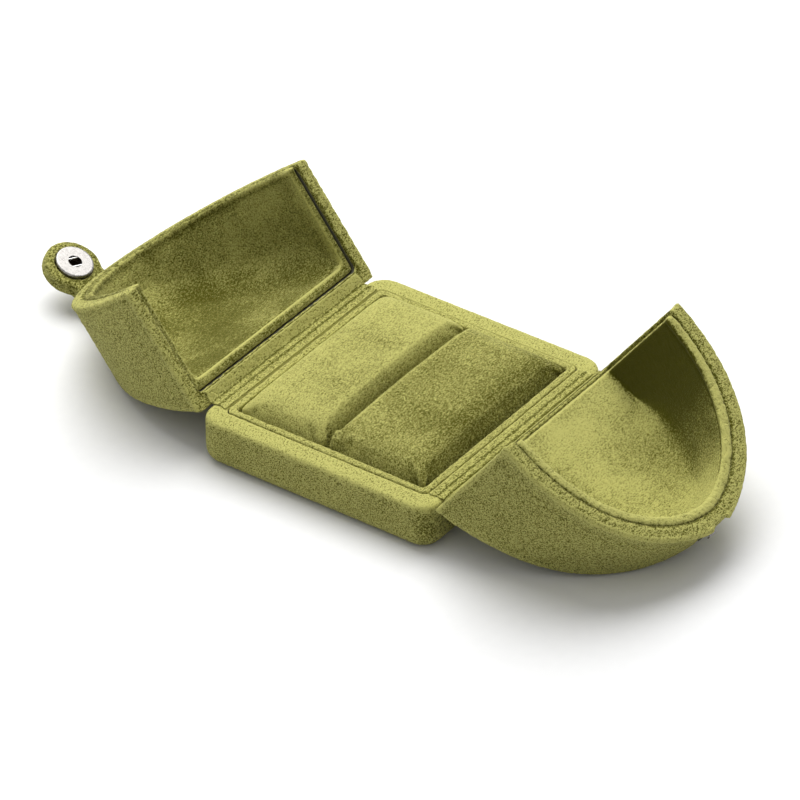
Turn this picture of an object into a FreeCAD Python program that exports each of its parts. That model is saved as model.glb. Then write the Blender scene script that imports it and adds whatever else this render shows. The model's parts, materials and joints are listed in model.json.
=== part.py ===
"""Two-leaf velvet ring box with a snap tab, standing open on a table.

Millimetres. +Z is up, X runs from hinge to hinge and Y along the hinges. The origin is the middle
of the base's underside. The covers and the tab are drawn shut and then swung to their open places.
"""
import FreeCAD, Part
import math
import os
import re
from types import SimpleNamespace

import Sketcher

SIZES = (
    # the base tray
    ("base_length", 64.0, "hinge edge to hinge edge"),
    ("base_width", 70.0, "along the hinges"),
    ("base_height", 12.0, "table to velvet border"),
    ("base_corner", 5.2, "corner radius in plan"),
    ("base_bottom_round", 3.6, "rounding of the lower edge"),
    ("base_top_round", 1.0, "rounding of the upper edge"),
    ("velvet", 0.9, "velvet with its pile"),
    ("tray_floor", 1.6, "floor of the moulded tray"),
    ("hinge_border", 4.2, "border between a hinge and the collar's well"),
    ("side_border", 5.0, "border between a side and the collar's well"),
    ("well_corner", 2.0, "corner radius of the well"),
    ("bottom_margin", 6.0, "velvet turned under the tray"),
    ("bottom_sheet", 0.8, "sheet that closes the underside"),
    ("sheet_clearance", 0.2, "gap round the sheet"),
    # the collar and the ring pads
    ("collar_clearance", 0.2, "gap between collar and well"),
    ("collar_card", 0.8, "card inside the collar"),
    ("collar_skin", 0.5, "velvet on each side of the card"),
    ("collar_rise", 0.3, "lip above the border"),
    ("pad_board", 1.0, "board under the ring pads"),
    ("pad_clearance", 0.2, "gap between pads and collar"),
    ("pad_skin", 0.8, "velvet over the foam"),
    ("pad_rise", 3.0, "crown of the pads above the border"),
    ("pad_round", 5.0, "rounding of the pads' upper edges"),
    ("pad_corner", 1.4, "corner radius of the pads in plan"),
    ("ring_slot", 0.5, "slot for the ring between the pads"),
    ("slot_offset", 1.4, "slot nearer to the left hinge"),
    # the fabric hinges
    ("hinge_height", 12.0, "fold line above the table"),
    ("strip_setback", 1.0, "hinge strip short of the well's ends"),
    ("strip_thickness", 0.25, "hinge strip"),
    ("strip_clearance", 0.3, "strip to collar well and to the fold line"),
    # the covers
    ("cover_lift", 0.4, "gap between border and shut cover"),
    ("parting_gap", 0.3, "gap between the shut covers"),
    ("cover_inset", 1.6, "shut cover's sides inside the base's"),
    ("cover_height", 42.8, "shut cover, rim to crown"),
    ("arch_side_power", 1.8, "fullness of the arch at its sides"),
    ("arch_top_power", 2.28, "fullness of the arch at its crown"),
    ("back_power", 3.5, "fullness of the curved back"),
    ("back_overshoot", 0.6, "back's own height above the crown"),
    ("shell_wall", 2.3, "moulded cover shell"),
    ("seam_gap", 0.2, "gap between shell and liner"),
    ("liner_board", 0.9, "board under the liner's velvet"),
    ("liner_setback", 1.0, "liner behind the cover's lower rim"),
    ("table_gap", 0.05, "open cover above the table"),
    # the tab and its snap
    ("fold_offset", 8.4, "tab's fold line behind the parting"),
    ("anchor_length", 4.6, "strap glued to the left cover"),
    ("anchor_thickness", 2.2, "strap glued to the left cover"),
    ("fold_clearance", 0.3, "tab to its fold line"),
    ("tab_lift", 0.9, "shut tab above the crown"),
    ("tab_thickness", 3.9, "both velvets and the core"),
    ("tab_neck", 10.6, "width at the fold"),
    ("tab_radius", 7.0, "round end"),
    ("tab_round", 1.1, "rounding of the tab's edges"),
    ("tab_droop", 28.6, "degrees that the open tab bends outwards"),
    ("snap_offset", 4.9, "snap beyond the parting"),
    ("snap_clearance", 0.05, "gap round each piece of the snap"),
    ("socket_radius", 4.6, "socket disc"),
    ("socket_proud", 0.8, "socket disc below the tab's velvet"),
    ("socket_bore", 1.7, "hole for the stud"),
    ("socket_edge", 0.4, "rolled edge of the socket"),
    ("spring_wire", 0.44, "diameter of each spring wire"),
    ("spring_length", 5.0, "length of each spring wire"),
    ("spring_spread", 2.3, "distance between the two wires"),
    ("spring_turn", 112.0, "degrees from the tab's length to the wires"),
    ("spring_depth", 0.38, "wires behind the socket's face"),
    ("rivet_wall", 0.4, "wall of the cap's hollow rivet"),
    ("cap_radius", 4.4, "cap disc inside the tab"),
    ("cap_thickness", 0.8, "cap disc inside the tab"),
    ("stud_flange_radius", 3.3, "stud's flange in the velvet"),
    ("stud_flange_proud", 0.05, "flange above the velvet"),
    ("stud_flange", 0.85, "flange thickness"),
    ("stud_neck_radius", 0.85, "neck between the wires"),
    ("stud_neck", 0.69, "length of the neck"),
    ("stud_head_radius", 1.35, "head behind the wires"),
    ("stud_head", 0.3, "length of the head"),
    ("backing_radius", 3.2, "stud's backing disc in the shell"),
    ("backing_thickness", 0.6, "stud's backing disc in the shell"),
    ("backing_post_radius", 1.0, "post from the backing to the stud"),
)

ARCH_SPANS = 28  # pieces of each arch curve
BACK_SPANS = 14  # pieces of each back curve
MARGIN = 5.0  # how far a cutting tool runs past what it cuts
ANGLE_STEPS = 50  # halvings in the search for the open angle

doc = FreeCAD.newDocument("ring_box")
sheet = doc.addObject("Spreadsheet::Sheet", "Sizes")
for row, (alias, number, note) in enumerate(SIZES, start=1):
    sheet.set(f"A{row}", alias)
    sheet.set(f"B{row}", str(number))
    sheet.setAlias(f"B{row}", alias)
    sheet.set(f"C{row}", note)
doc.recompute()
size = SimpleNamespace(**{alias: float(sheet.get(alias)) for alias, number, note in SIZES})

subparts = []


def bound(text):
    """An expression on the sheet, from one that names its aliases."""
    return re.sub(r"\b[a-z]\w*\b(?!\()", r"Sizes.\g<0>", text)


def named(feature, label):
    feature.Label = label
    subparts.append(feature)
    return feature


def bind(feature, **expressions):
    for path, text in expressions.items():
        feature.setExpression(path.replace("__", "."), bound(text))
    return feature


def new_sketch(body, role, x="", z=""):
    plane = next(item for item in body.Origin.OriginFeatures if item.Role == role)
    sketch = body.newObject("Sketcher::SketchObject", body.Name + "_sketch")
    sketch.AttachmentSupport = (plane, "")
    sketch.MapMode = "FlatFace"
    if x:
        sketch.setExpression("AttachmentOffset.Base.x", bound(x))
    if z:
        sketch.setExpression("AttachmentOffset.Base.z", bound(z))
    return sketch


def bind_last(sketch, text):
    sketch.setExpression(f"Constraints[{sketch.ConstraintCount - 1}]", bound(text))


def rounded_rectangle(sketch, half_x, half_y, corner):
    """Four sides and four corner arcs about the sketch's origin, sized by three expressions."""
    first = sketch.GeometryCount
    reach, radius = 10.0, 1.0
    flat = reach - radius
    turns = ((flat, -flat), (flat, flat), (-flat, flat), (-flat, -flat))
    sides = ((-flat, -reach, flat, -reach), (reach, -flat, reach, flat),
             (flat, reach, -flat, reach), (-reach, flat, -reach, -flat))
    for x0, y0, x1, y1 in sides:
        start, end = FreeCAD.Vector(x0, y0, 0), FreeCAD.Vector(x1, y1, 0)
        sketch.addGeometry(Part.LineSegment(start, end), False)
    for turn, (x, y) in enumerate(turns):
        circle = Part.Circle(FreeCAD.Vector(x, y, 0), FreeCAD.Vector(0, 0, 1), radius)
        angle = math.pi / 2 * (turn - 1)
        sketch.addGeometry(Part.ArcOfCircle(circle, angle, angle + math.pi / 2), False)
    side = [first + n for n in range(4)]
    arc = [first + 4 + n for n in range(4)]
    for n in range(4):
        sketch.addConstraint(Sketcher.Constraint("Tangent", side[n], 2, arc[n], 1))
        sketch.addConstraint(Sketcher.Constraint("Tangent", arc[n], 2, side[(n + 1) % 4], 1))
    for n in (0, 2):
        sketch.addConstraint(Sketcher.Constraint("Horizontal", side[n]))
    for n in (1, 3):
        sketch.addConstraint(Sketcher.Constraint("Vertical", side[n]))
    for n in (1, 2, 3):
        sketch.addConstraint(Sketcher.Constraint("Equal", arc[0], arc[n]))
    sketch.addConstraint(Sketcher.Constraint("Radius", arc[0], radius))
    bind_last(sketch, corner)
    sketch.addConstraint(Sketcher.Constraint("DistanceX", -1, 1, side[1], 1, reach))
    bind_last(sketch, half_x)
    sketch.addConstraint(Sketcher.Constraint("DistanceX", side[3], 1, -1, 1, reach))
    bind_last(sketch, half_x)
    sketch.addConstraint(Sketcher.Constraint("DistanceY", -1, 1, side[2], 1, reach))
    bind_last(sketch, half_y)
    sketch.addConstraint(Sketcher.Constraint("DistanceY", side[0], 1, -1, 1, reach))
    bind_last(sketch, half_y)


def pad_sketch(body, sketch, length):
    pad = body.newObject("PartDesign::Pad", body.Name + "_pad")
    pad.Profile = sketch
    pad.setExpression("Length", bound(length))
    doc.recompute()
    return pad


def round_edges(body, height, radius):
    """Rounds every edge of the body that lies level at that height."""
    base = body.Tip
    edges = [
        f"Edge{number}"
        for number, edge in enumerate(base.Shape.Edges, start=1)
        if all(abs(vertex.Z - height) < 1e-4 for vertex in edge.Vertexes)
    ]
    fillet = body.newObject("PartDesign::Fillet", body.Name + "_round")
    fillet.Base = (base, edges)
    fillet.setExpression("Radius", bound(radius))
    doc.recompute()


def rounded_body(name, outline, bottom, top, hole=None, centre=""):
    """A block with rounded corners, or a ring of one, from its bottom to its top height."""
    body = doc.addObject("PartDesign::Body", name)
    sketch = new_sketch(body, "XY_Plane", x=centre, z=bottom)
    rounded_rectangle(sketch, *outline)
    if hole:
        rounded_rectangle(sketch, *hole)
    pad_sketch(body, sketch, f"({top}) - ({bottom})")
    return body


def cut(name, base, *tools):
    for number, tool in enumerate(tools):
        result = doc.addObject("Part::Cut", name if number == len(tools) - 1 else f"{name}_{number}")
        result.Base = base
        result.Tool = tool
        base = result
    return base


def cylinder(name, radius, bottom, top, x="0", y="0"):
    """An upright cylinder between two heights."""
    made = doc.addObject("Part::Cylinder", name)
    bind(made, Radius=radius, Height=f"({top}) - ({bottom})")
    bind(made, Placement__Base__x=x, Placement__Base__y=y, Placement__Base__z=bottom)
    return made


def disc(name, radius, bottom, top, x):
    """A round body on the X axis, whose edges can be rounded."""
    body = doc.addObject("PartDesign::Body", name)
    sketch = new_sketch(body, "XY_Plane", x=x, z=bottom)
    circle = Part.Circle(FreeCAD.Vector(0, 0, 0), FreeCAD.Vector(0, 0, 1), 1.0)
    sketch.addGeometry(circle, False)
    sketch.addConstraint(Sketcher.Constraint("Coincident", 0, 3, -1, 1))
    sketch.addConstraint(Sketcher.Constraint("Radius", 0, 1.0))
    bind_last(sketch, radius)
    pad_sketch(body, sketch, f"({top}) - ({bottom})")
    return body


def fuse(name, *pieces):
    made = doc.addObject("Part::MultiFuse", name)
    made.Shapes = list(pieces)
    return made


# ---- base: a moulded tray in a velvet skin, closed below by a glued sheet ----

WELL_X = "(base_length / 2 - hinge_border)"
WELL_Y = "(base_width / 2 - side_border)"


def make_base():
    outer = rounded_body(
        "base_outline",
        ("base_length / 2", "base_width / 2", "base_corner"),
        "0", "base_height")
    round_edges(outer, 0.0, "base_bottom_round")
    round_edges(outer, size.base_height, "base_top_round")
    block = rounded_body(
        "tray_block",
        ("base_length / 2 - velvet", "base_width / 2 - velvet", "base_corner - velvet"),
        "velvet", "base_height - velvet")
    round_edges(block, size.velvet, "base_bottom_round - velvet")
    well = rounded_body(
        "collar_well",
        (WELL_X, WELL_Y, "well_corner"),
        "velvet + tray_floor", "base_height + collar_rise")
    recess = rounded_body(
        "sheet_recess",
        ("base_length / 2 - bottom_margin", "base_width / 2 - bottom_margin", "base_corner"),
        "-velvet", "velvet")
    named(cut("base_shell", block, well), "base_shell")
    named(cut("base_velvet", outer, block, well, recess), "base_velvet")
    named(rounded_body(
        "bottom_cover",
        ("base_length / 2 - bottom_margin - sheet_clearance",
         "base_width / 2 - bottom_margin - sheet_clearance",
         "base_corner - sheet_clearance"),
        "0", "bottom_sheet"), "base_bottom_sheet")


# ---- collar: a card frame folded in velvet, standing in the tray ----

COLLAR_X = f"({WELL_X} - collar_clearance)"
COLLAR_Y = f"({WELL_Y} - collar_clearance)"
COLLAR_CORNER = "well_corner - collar_clearance"
COLLAR_WALL = "(2 * collar_skin + collar_card)"
INNER_CORNER = "0.5 * pad_corner"
FLOOR = "velvet + tray_floor"


def make_collar():
    frame = rounded_body(
        "card_frame",
        (f"{COLLAR_X} - collar_skin", f"{COLLAR_Y} - collar_skin", f"{COLLAR_CORNER} - collar_skin"),
        FLOOR, "base_height + collar_rise - collar_skin",
        hole=(f"{COLLAR_X} - collar_skin - collar_card",
              f"{COLLAR_Y} - collar_skin - collar_card",
              INNER_CORNER))
    sleeve = rounded_body(
        "collar_sleeve",
        (COLLAR_X, COLLAR_Y, COLLAR_CORNER),
        FLOOR, "base_height + collar_rise",
        hole=(f"{COLLAR_X} - {COLLAR_WALL}", f"{COLLAR_Y} - {COLLAR_WALL}", INNER_CORNER))
    round_edges(sleeve, size.base_height + size.collar_rise, "collar_skin * 0.8")
    named(frame, "collar_frame")
    named(cut("collar_skin_cut", sleeve, frame), "collar_velvet")


# ---- ring pads: two foam blocks under velvet, on one board, with the ring slot between ----

PAD_X = f"({COLLAR_X} - {COLLAR_WALL} - pad_clearance)"
PAD_Y = f"({COLLAR_Y} - {COLLAR_WALL} - pad_clearance)"
PAD_BOTTOM = f"({FLOOR} + pad_board)"
PAD_TOP = "(base_height + pad_rise)"


def make_pads():
    named(rounded_body("board", (PAD_X, PAD_Y, "pad_corner"), FLOOR, PAD_BOTTOM), "pad_board")
    top = size.base_height + size.pad_rise
    for side, sign in (("left", "-"), ("right", "+")):
        half = f"({PAD_X} {sign} slot_offset - ring_slot / 2) / 2"
        centre = f"({sign}{PAD_X} - slot_offset {sign} ring_slot / 2) / 2"
        cushion = rounded_body(
            f"{side}_cushion", (half, PAD_Y, "pad_corner"), PAD_BOTTOM, PAD_TOP, centre=centre)
        round_edges(cushion, top, "pad_round")
        foam = rounded_body(
            f"{side}_foam", (f"{half} - pad_skin", f"{PAD_Y} - pad_skin", "pad_corner - pad_skin"),
            PAD_BOTTOM, f"{PAD_TOP} - pad_skin", centre=centre)
        round_edges(foam, top - size.pad_skin, "pad_round - pad_skin")
        named(foam, f"{side}_ring_foam")
        named(cut(f"{side}_skin", cushion, foam), f"{side}_ring_pad_velvet")


# ---- fabric hinges: the half of each strip that is glued to the border ----

def make_hinge_strips():
    for side, sign in (("left", "-"), ("right", "")):
        near = f"({WELL_X} + strip_clearance)"
        far = "(base_length / 2 - strip_clearance)"
        strip = rounded_body(
            f"{side}_strip",
            (f"({far} - {near}) / 2", f"{WELL_Y} - strip_setback", "strip_thickness"),
            "base_height", "base_height + strip_thickness",
            centre=f"{sign}({far} + {near}) / 2")
        named(strip, f"{side}_hinge_strip")


# ---- covers: an arch run along X, cut by a curved back run along Y ----

RIM_HEIGHT = size.base_height + size.cover_lift
CROWN = RIM_HEIGHT + size.cover_height
HALF_LENGTH = size.base_length / 2
HALF_WIDTH = size.base_width / 2 - size.cover_inset
FLAP_REACH = size.base_width / 2 - size.side_border - size.strip_setback - size.strip_clearance
SKIN = size.velvet
SHELL_INSIDE = size.velvet + size.shell_wall
LINER_OUTSIDE = SHELL_INSIDE + size.seam_gap
BOARD_INSIDE = LINER_OUTSIDE + size.liner_board
LINER_INSIDE = BOARD_INSIDE + size.velvet


def spline(points):
    curve = Part.BSplineCurve()
    curve.interpolate(points)
    return curve.toShape()


def closed_by(points, *corners):
    """A wire of a curve through the points and straight lines back from its end by the corners."""
    stops = [points[-1], *corners, points[0]]
    lines = [Part.LineSegment(start, end).toShape() for start, end in zip(stops, stops[1:])]
    return Part.Wire([spline(points), *lines])


def arch_face(inset):
    half, tall = HALF_WIDTH - inset, size.cover_height - inset
    points = []
    for n in range(ARCH_SPANS + 1):
        turn = math.pi * n / ARCH_SPANS
        across = math.copysign(abs(math.cos(turn)) ** (2 / size.arch_side_power), math.cos(turn))
        up = abs(math.sin(turn)) ** (2 / size.arch_top_power)
        rise = tall * up if 0 < n < ARCH_SPANS else 0
        points.append(FreeCAD.Vector(0, half * across, RIM_HEIGHT + rise))
    return Part.Face(closed_by(points))


def back_points(inset):
    """The back's profile in X and Z, from above the parting down to the hinge."""
    span = HALF_LENGTH - inset
    tall = size.cover_height + size.back_overshoot - inset
    for n in range(BACK_SPANS + 1):
        share = n / BACK_SPANS
        yield span * share, RIM_HEIGHT + tall * (1 - share ** size.back_power)


def back_block(inset, side):
    """What lies under the curved back, from side to side."""
    reach = HALF_WIDTH + MARGIN
    points = [FreeCAD.Vector(side * x, -reach, z) for x, z in back_points(inset)]
    face = Part.Face(closed_by(points, FreeCAD.Vector(0, -reach, RIM_HEIGHT)))
    return face.extrude(FreeCAD.Vector(0, 2 * reach, 0))


def cover_blank(side, inset):
    """A solid cover, drawn in from the outside by the inset."""
    arch = arch_face(inset).extrude(FreeCAD.Vector(side * (HALF_LENGTH + MARGIN), 0, 0))
    return arch.common(back_block(inset, side))


def box_between(x0, x1, y0, y1, z0, z1):
    corner = FreeCAD.Vector(min(x0, x1), y0, z0)
    return Part.makeBox(abs(x1 - x0), y1 - y0, z1 - z0, corner)


def trimmed(blank, side, rim, lift):
    """The blank, kept back from the parting plane and from the lower rim."""
    keep = box_between(
        side * (size.parting_gap / 2 + rim), side * (HALF_LENGTH + MARGIN),
        -HALF_WIDTH - MARGIN, HALF_WIDTH + MARGIN,
        RIM_HEIGHT + lift, CROWN + MARGIN)
    return blank.common(keep)


def lowest_point(angle):
    """Height of an open cover's lowest point, when it has swung by that angle."""
    turn = math.radians(angle)
    heights = []
    for x, z in back_points(0):
        out, up = x - HALF_LENGTH, z - size.hinge_height
        heights.append(size.hinge_height + up * math.cos(turn) - out * math.sin(turn))
    return min(heights)


def find_open_angle():
    """The angle at which an opening cover comes to lie on the table."""
    low, high = 90.0, 150.0
    for _ in range(ANGLE_STEPS):
        middle = (low + high) / 2
        if lowest_point(middle) > size.table_gap:
            low = middle
        else:
            high = middle
    return low


OPEN_ANGLE = find_open_angle()


def swing(side):
    """The placement that opens a shut cover about its hinge."""
    pin = FreeCAD.Vector(side * HALF_LENGTH, 0, size.hinge_height)
    turn = FreeCAD.Rotation(FreeCAD.Vector(0, 1, 0), side * OPEN_ANGLE)
    return FreeCAD.Placement(FreeCAD.Vector(), turn, pin)


def solid_feature(label, shape, placement):
    feature = doc.addObject("Part::Feature", label)
    feature.Shape = shape
    feature.Placement = placement
    return named(feature, label)


def upright(radius, z0, z1):
    """A cutting cylinder at the snap's place on the right cover."""
    return Part.makeCylinder(radius, z1 - z0, FreeCAD.Vector(size.snap_offset, 0, z0))


def make_cover(name, side):
    shell_inside = cover_blank(side, SHELL_INSIDE)
    shell_block = trimmed(cover_blank(side, SKIN), side, SKIN, SKIN)
    shell = shell_block.cut(shell_inside)
    velvet = trimmed(cover_blank(side, 0), side, 0, 0).cut(shell_block).cut(shell_inside)
    flap = box_between(
        side * (HALF_LENGTH - SHELL_INSIDE), side * (HALF_LENGTH - size.strip_clearance),
        -FLAP_REACH, FLAP_REACH, RIM_HEIGHT, RIM_HEIGHT + size.strip_thickness)
    velvet = velvet.cut(flap)
    if side > 0:
        flange_bottom = CROWN + size.stud_flange_proud - size.stud_flange
        shell_hole = size.backing_post_radius + size.snap_clearance
        backing_hole = size.backing_radius + size.snap_clearance
        backing_top = CROWN - SHELL_INSIDE + size.backing_thickness + size.snap_clearance
        velvet_hole = size.stud_flange_radius + size.snap_clearance
        velvet = velvet.cut(upright(velvet_hole, CROWN - SHELL_INSIDE, CROWN + MARGIN))
        shell = shell.cut(upright(shell_hole, CROWN - SHELL_INSIDE, flange_bottom))
        shell = shell.cut(upright(backing_hole, CROWN - SHELL_INSIDE - MARGIN, backing_top))

    liner_block = cover_blank(side, LINER_OUTSIDE)
    board = trimmed(liner_block, side, SKIN, size.liner_setback + SKIN).cut(cover_blank(side, BOARD_INSIDE))
    liner = trimmed(liner_block, side, 0, size.liner_setback)
    liner = liner.cut(board).cut(cover_blank(side, LINER_INSIDE))

    opened = swing(side)
    solid_feature(f"{name}_cover_shell", shell, opened)
    solid_feature(f"{name}_cover_velvet", velvet, opened)
    solid_feature(f"{name}_liner_board", board, opened)
    solid_feature(f"{name}_liner_velvet", liner, opened)
    solid_feature(f"{name}_hinge_flap", flap, opened)


# ---- tab: a stiffened strap that folds over the parting, with a spring snap ----
# Its pieces are drawn flat, from the fold line at their origin towards the round end.

FOLD_HEIGHT = "anchor_thickness"
REACH = "(fold_offset + snap_offset)"
TAB_BOTTOM = f"(tab_lift - {FOLD_HEIGHT})"
TAB_TOP = f"({TAB_BOTTOM} + tab_thickness)"
TAB_SEAM = f"({TAB_BOTTOM} + tab_thickness / 2)"
CORE_BOTTOM = f"({TAB_BOTTOM} + velvet)"
CORE_TOP = f"({TAB_TOP} - velvet)"
SOCKET_FACE = f"({TAB_BOTTOM} - socket_proud)"
CAP_BOTTOM = f"({CORE_TOP} - cap_thickness)"
RIVET_BORE = "(socket_bore + snap_clearance)"
RIVET = f"({RIVET_BORE} + rivet_wall)"
COS_TURN = "cos(spring_turn * 1deg)"
SIN_TURN = "sin(spring_turn * 1deg)"


def tab_placement():
    fold = FreeCAD.Vector(-size.fold_offset, 0, CROWN + size.anchor_thickness)
    bent = FreeCAD.Rotation(FreeCAD.Vector(0, 1, 0), -size.tab_droop)
    return swing(-1).multiply(FreeCAD.Placement(fold, bent))


def tongue(name, bottom, top, inset):
    """The tab's outline drawn in by the inset: a neck and a round end."""
    body = doc.addObject("PartDesign::Body", name)
    sketch = new_sketch(body, "XY_Plane", z=bottom)
    near, half, centre, radius = 0.3, 4.0, 12.0, 6.0
    meet = math.asin(half / radius)
    neck_end = centre - radius * math.cos(meet)
    corners = ((near, -half), (neck_end, -half), (neck_end, half), (near, half))
    points = [FreeCAD.Vector(x, y, 0) for x, y in corners]
    circle = Part.Circle(FreeCAD.Vector(centre, 0, 0), FreeCAD.Vector(0, 0, 1), radius)
    sketch.addGeometry(Part.LineSegment(points[0], points[1]), False)
    sketch.addGeometry(Part.ArcOfCircle(circle, meet - math.pi, math.pi - meet), False)
    sketch.addGeometry(Part.LineSegment(points[2], points[3]), False)
    sketch.addGeometry(Part.LineSegment(points[3], points[0]), False)
    for n in range(4):
        sketch.addConstraint(Sketcher.Constraint("Coincident", n, 2, (n + 1) % 4, 1))
    sketch.addConstraint(Sketcher.Constraint("Horizontal", 0))
    sketch.addConstraint(Sketcher.Constraint("Horizontal", 2))
    sketch.addConstraint(Sketcher.Constraint("Vertical", 3))
    sketch.addConstraint(Sketcher.Constraint("PointOnObject", 1, 3, -1))
    sketch.addConstraint(Sketcher.Constraint("DistanceX", -1, 1, 3, 2, near))
    bind_last(sketch, f"fold_clearance + {inset}")
    sketch.addConstraint(Sketcher.Constraint("DistanceX", -1, 1, 1, 3, centre))
    bind_last(sketch, REACH)
    sketch.addConstraint(Sketcher.Constraint("Radius", 1, radius))
    bind_last(sketch, f"tab_radius - {inset}")
    sketch.addConstraint(Sketcher.Constraint("DistanceY", 0, 1, 2, 2, 2 * half))
    bind_last(sketch, f"tab_neck - 2 * {inset}")
    sketch.addConstraint(Sketcher.Constraint("DistanceY", 0, 1, -1, 1, half))
    bind_last(sketch, f"tab_neck / 2 - {inset}")
    pad_sketch(body, sketch, f"({top}) - ({bottom})")
    return body


def make_tab():
    placed = tab_placement()
    core_blank = tongue("core_blank", CORE_BOTTOM, CORE_TOP, "velvet")
    cap_recess = cylinder("cap_recess", "cap_radius + snap_clearance", CAP_BOTTOM, CORE_TOP, x=REACH)
    rivet_hole = cylinder("rivet_hole", f"{RIVET} + snap_clearance", CORE_BOTTOM, CAP_BOTTOM, x=REACH)
    socket_hole = cylinder(
        "socket_hole", "socket_radius + snap_clearance", SOCKET_FACE, CORE_BOTTOM, x=REACH)

    lower = tongue("lower_blank", TAB_BOTTOM, TAB_SEAM, "0")
    round_edges(lower, size.tab_lift - size.anchor_thickness, "tab_round")
    upper = tongue("upper_blank", TAB_SEAM, TAB_TOP, "0")
    round_edges(upper, size.tab_lift - size.anchor_thickness + size.tab_thickness, "tab_round")

    plate = disc("socket_plate", "socket_radius", SOCKET_FACE, CORE_BOTTOM, x=REACH)
    round_edges(plate, size.tab_lift - size.anchor_thickness - size.socket_proud, "socket_edge")
    bore = cylinder("socket_bore_hole", "socket_bore", SOCKET_FACE, CORE_BOTTOM, x=REACH)
    channels = [spring_wire(f"channel_{n}", sign, "snap_clearance") for n, sign in enumerate(("", "-"))]
    wires = [spring_wire(f"wire_{n}", sign, "0") for n, sign in enumerate(("", "-"))]

    cap_disc = cylinder("cap_disc", "cap_radius", CAP_BOTTOM, CORE_TOP, x=REACH)
    rivet = cylinder("rivet_tube", RIVET, CORE_BOTTOM, CAP_BOTTOM, x=REACH)
    rivet_bore = cylinder("rivet_bore_hole", RIVET_BORE, CORE_BOTTOM, CAP_BOTTOM, x=REACH)

    pieces = (
        named(cut("core", core_blank, cap_recess, rivet_hole), "tab_core"),
        named(cut("lower_skin", lower, core_blank, socket_hole), "tab_velvet_lower"),
        named(cut("upper_skin", upper, core_blank), "tab_velvet_upper"),
        named(cut("socket", plate, bore, *channels), "snap_socket"),
        named(fuse("springs", *wires), "snap_spring_wires"),
        named(cut("cap", fuse("cap_blank", cap_disc, rivet), rivet_bore), "snap_cap"),
    )
    doc.recompute()
    for piece in pieces:
        piece.Placement = placed


def spring_wire(name, sign, clearance):
    """One wire that lies across the socket, or the channel that holds it."""
    made = doc.addObject("Part::Cylinder", name)
    bind(made, Radius=f"spring_wire / 2 + {clearance}", Height=f"spring_length + 2 * {clearance}")
    across = FreeCAD.Rotation(FreeCAD.Vector(0, 0, 1), size.spring_turn)
    made.Placement.Rotation = across.multiply(FreeCAD.Rotation(FreeCAD.Vector(0, 1, 0), 90))
    back = f"(spring_length / 2 + {clearance})"
    aside = f"({sign}spring_spread / 2)"
    bind(
        made,
        Placement__Base__x=f"{REACH} - {back} * {COS_TURN} - {aside} * {SIN_TURN}",
        Placement__Base__y=f"{aside} * {COS_TURN} - {back} * {SIN_TURN}",
        Placement__Base__z=f"{SOCKET_FACE} + spring_depth")
    return made


def make_anchor():
    """The strap's glued end, following the left cover's outside."""
    thick = cover_blank(-1, -size.anchor_thickness).cut(cover_blank(-1, 0))
    near = -size.fold_offset - size.fold_clearance
    window = box_between(
        near - size.anchor_length, near, -size.tab_neck / 2, size.tab_neck / 2,
        RIM_HEIGHT, CROWN + MARGIN)
    solid_feature("tab_anchor_strap", thick.common(window), swing(-1))


# ---- stud: the snap's other half, through the right cover ----

STUD_FOOT = "(base_height + cover_lift + cover_height + stud_flange_proud - stud_flange)"
STUD_NECK = f"({STUD_FOOT} + stud_flange)"
STUD_HEAD = f"({STUD_NECK} + stud_neck)"
BACKING = "(base_height + cover_lift + cover_height - velvet - shell_wall)"
BACKING_TOP = f"({BACKING} + backing_thickness)"


def make_stud():
    flange = cylinder("flange", "stud_flange_radius", STUD_FOOT, STUD_NECK, x="snap_offset")
    neck = cylinder("neck", "stud_neck_radius", STUD_NECK, STUD_HEAD, x="snap_offset")
    head = cylinder("head", "stud_head_radius", STUD_HEAD, f"{STUD_HEAD} + stud_head", x="snap_offset")
    disc = cylinder("backing_disc", "backing_radius", BACKING, BACKING_TOP, x="snap_offset")
    post = cylinder("backing_post", "backing_post_radius", BACKING_TOP, STUD_FOOT, x="snap_offset")
    pieces = (
        named(fuse("stud", flange, neck, head), "snap_stud"),
        named(fuse("backing", disc, post), "snap_stud_backing"),
    )
    doc.recompute()
    for piece in pieces:
        piece.Placement = swing(1)


def check_and_export():
    doc.recompute()
    for item in doc.Objects:
        if "Invalid" in item.State or "Error" in item.State:
            raise RuntimeError(f"{item.Name} failed: {item.State}")
    for piece in subparts:
        if piece.Shape.isNull() or not piece.Shape.isValid() or not piece.Shape.Solids:
            raise RuntimeError(f"{piece.Label} has no valid solid")
    os.makedirs("parts", exist_ok=True)
    for piece in subparts:
        piece.Shape.exportStep(f"parts/{piece.Label}.step")


make_base()
make_collar()
make_pads()
make_hinge_strips()
make_cover("left", -1)
make_cover("right", 1)
make_anchor()
make_tab()
make_stud()
check_and_export()
print(f"{len(subparts)} sub-parts; each cover opens by {OPEN_ANGLE:.3f} degrees")
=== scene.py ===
"""Looks of a two-leaf velvet ring box with a snap tab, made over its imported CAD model.

Lengths in the code are millimetres unless a property holds them in metres. +Z is up, X runs from
hinge to hinge and Y along the hinges. A cover is worked on as it lies when shut, and opened again.
"""
import functools
import json
import math

import bmesh
import bpy
import numpy as np
from bpy.props import FloatProperty, FloatVectorProperty, PointerProperty
from mathutils import Matrix, Vector, noise


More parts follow.
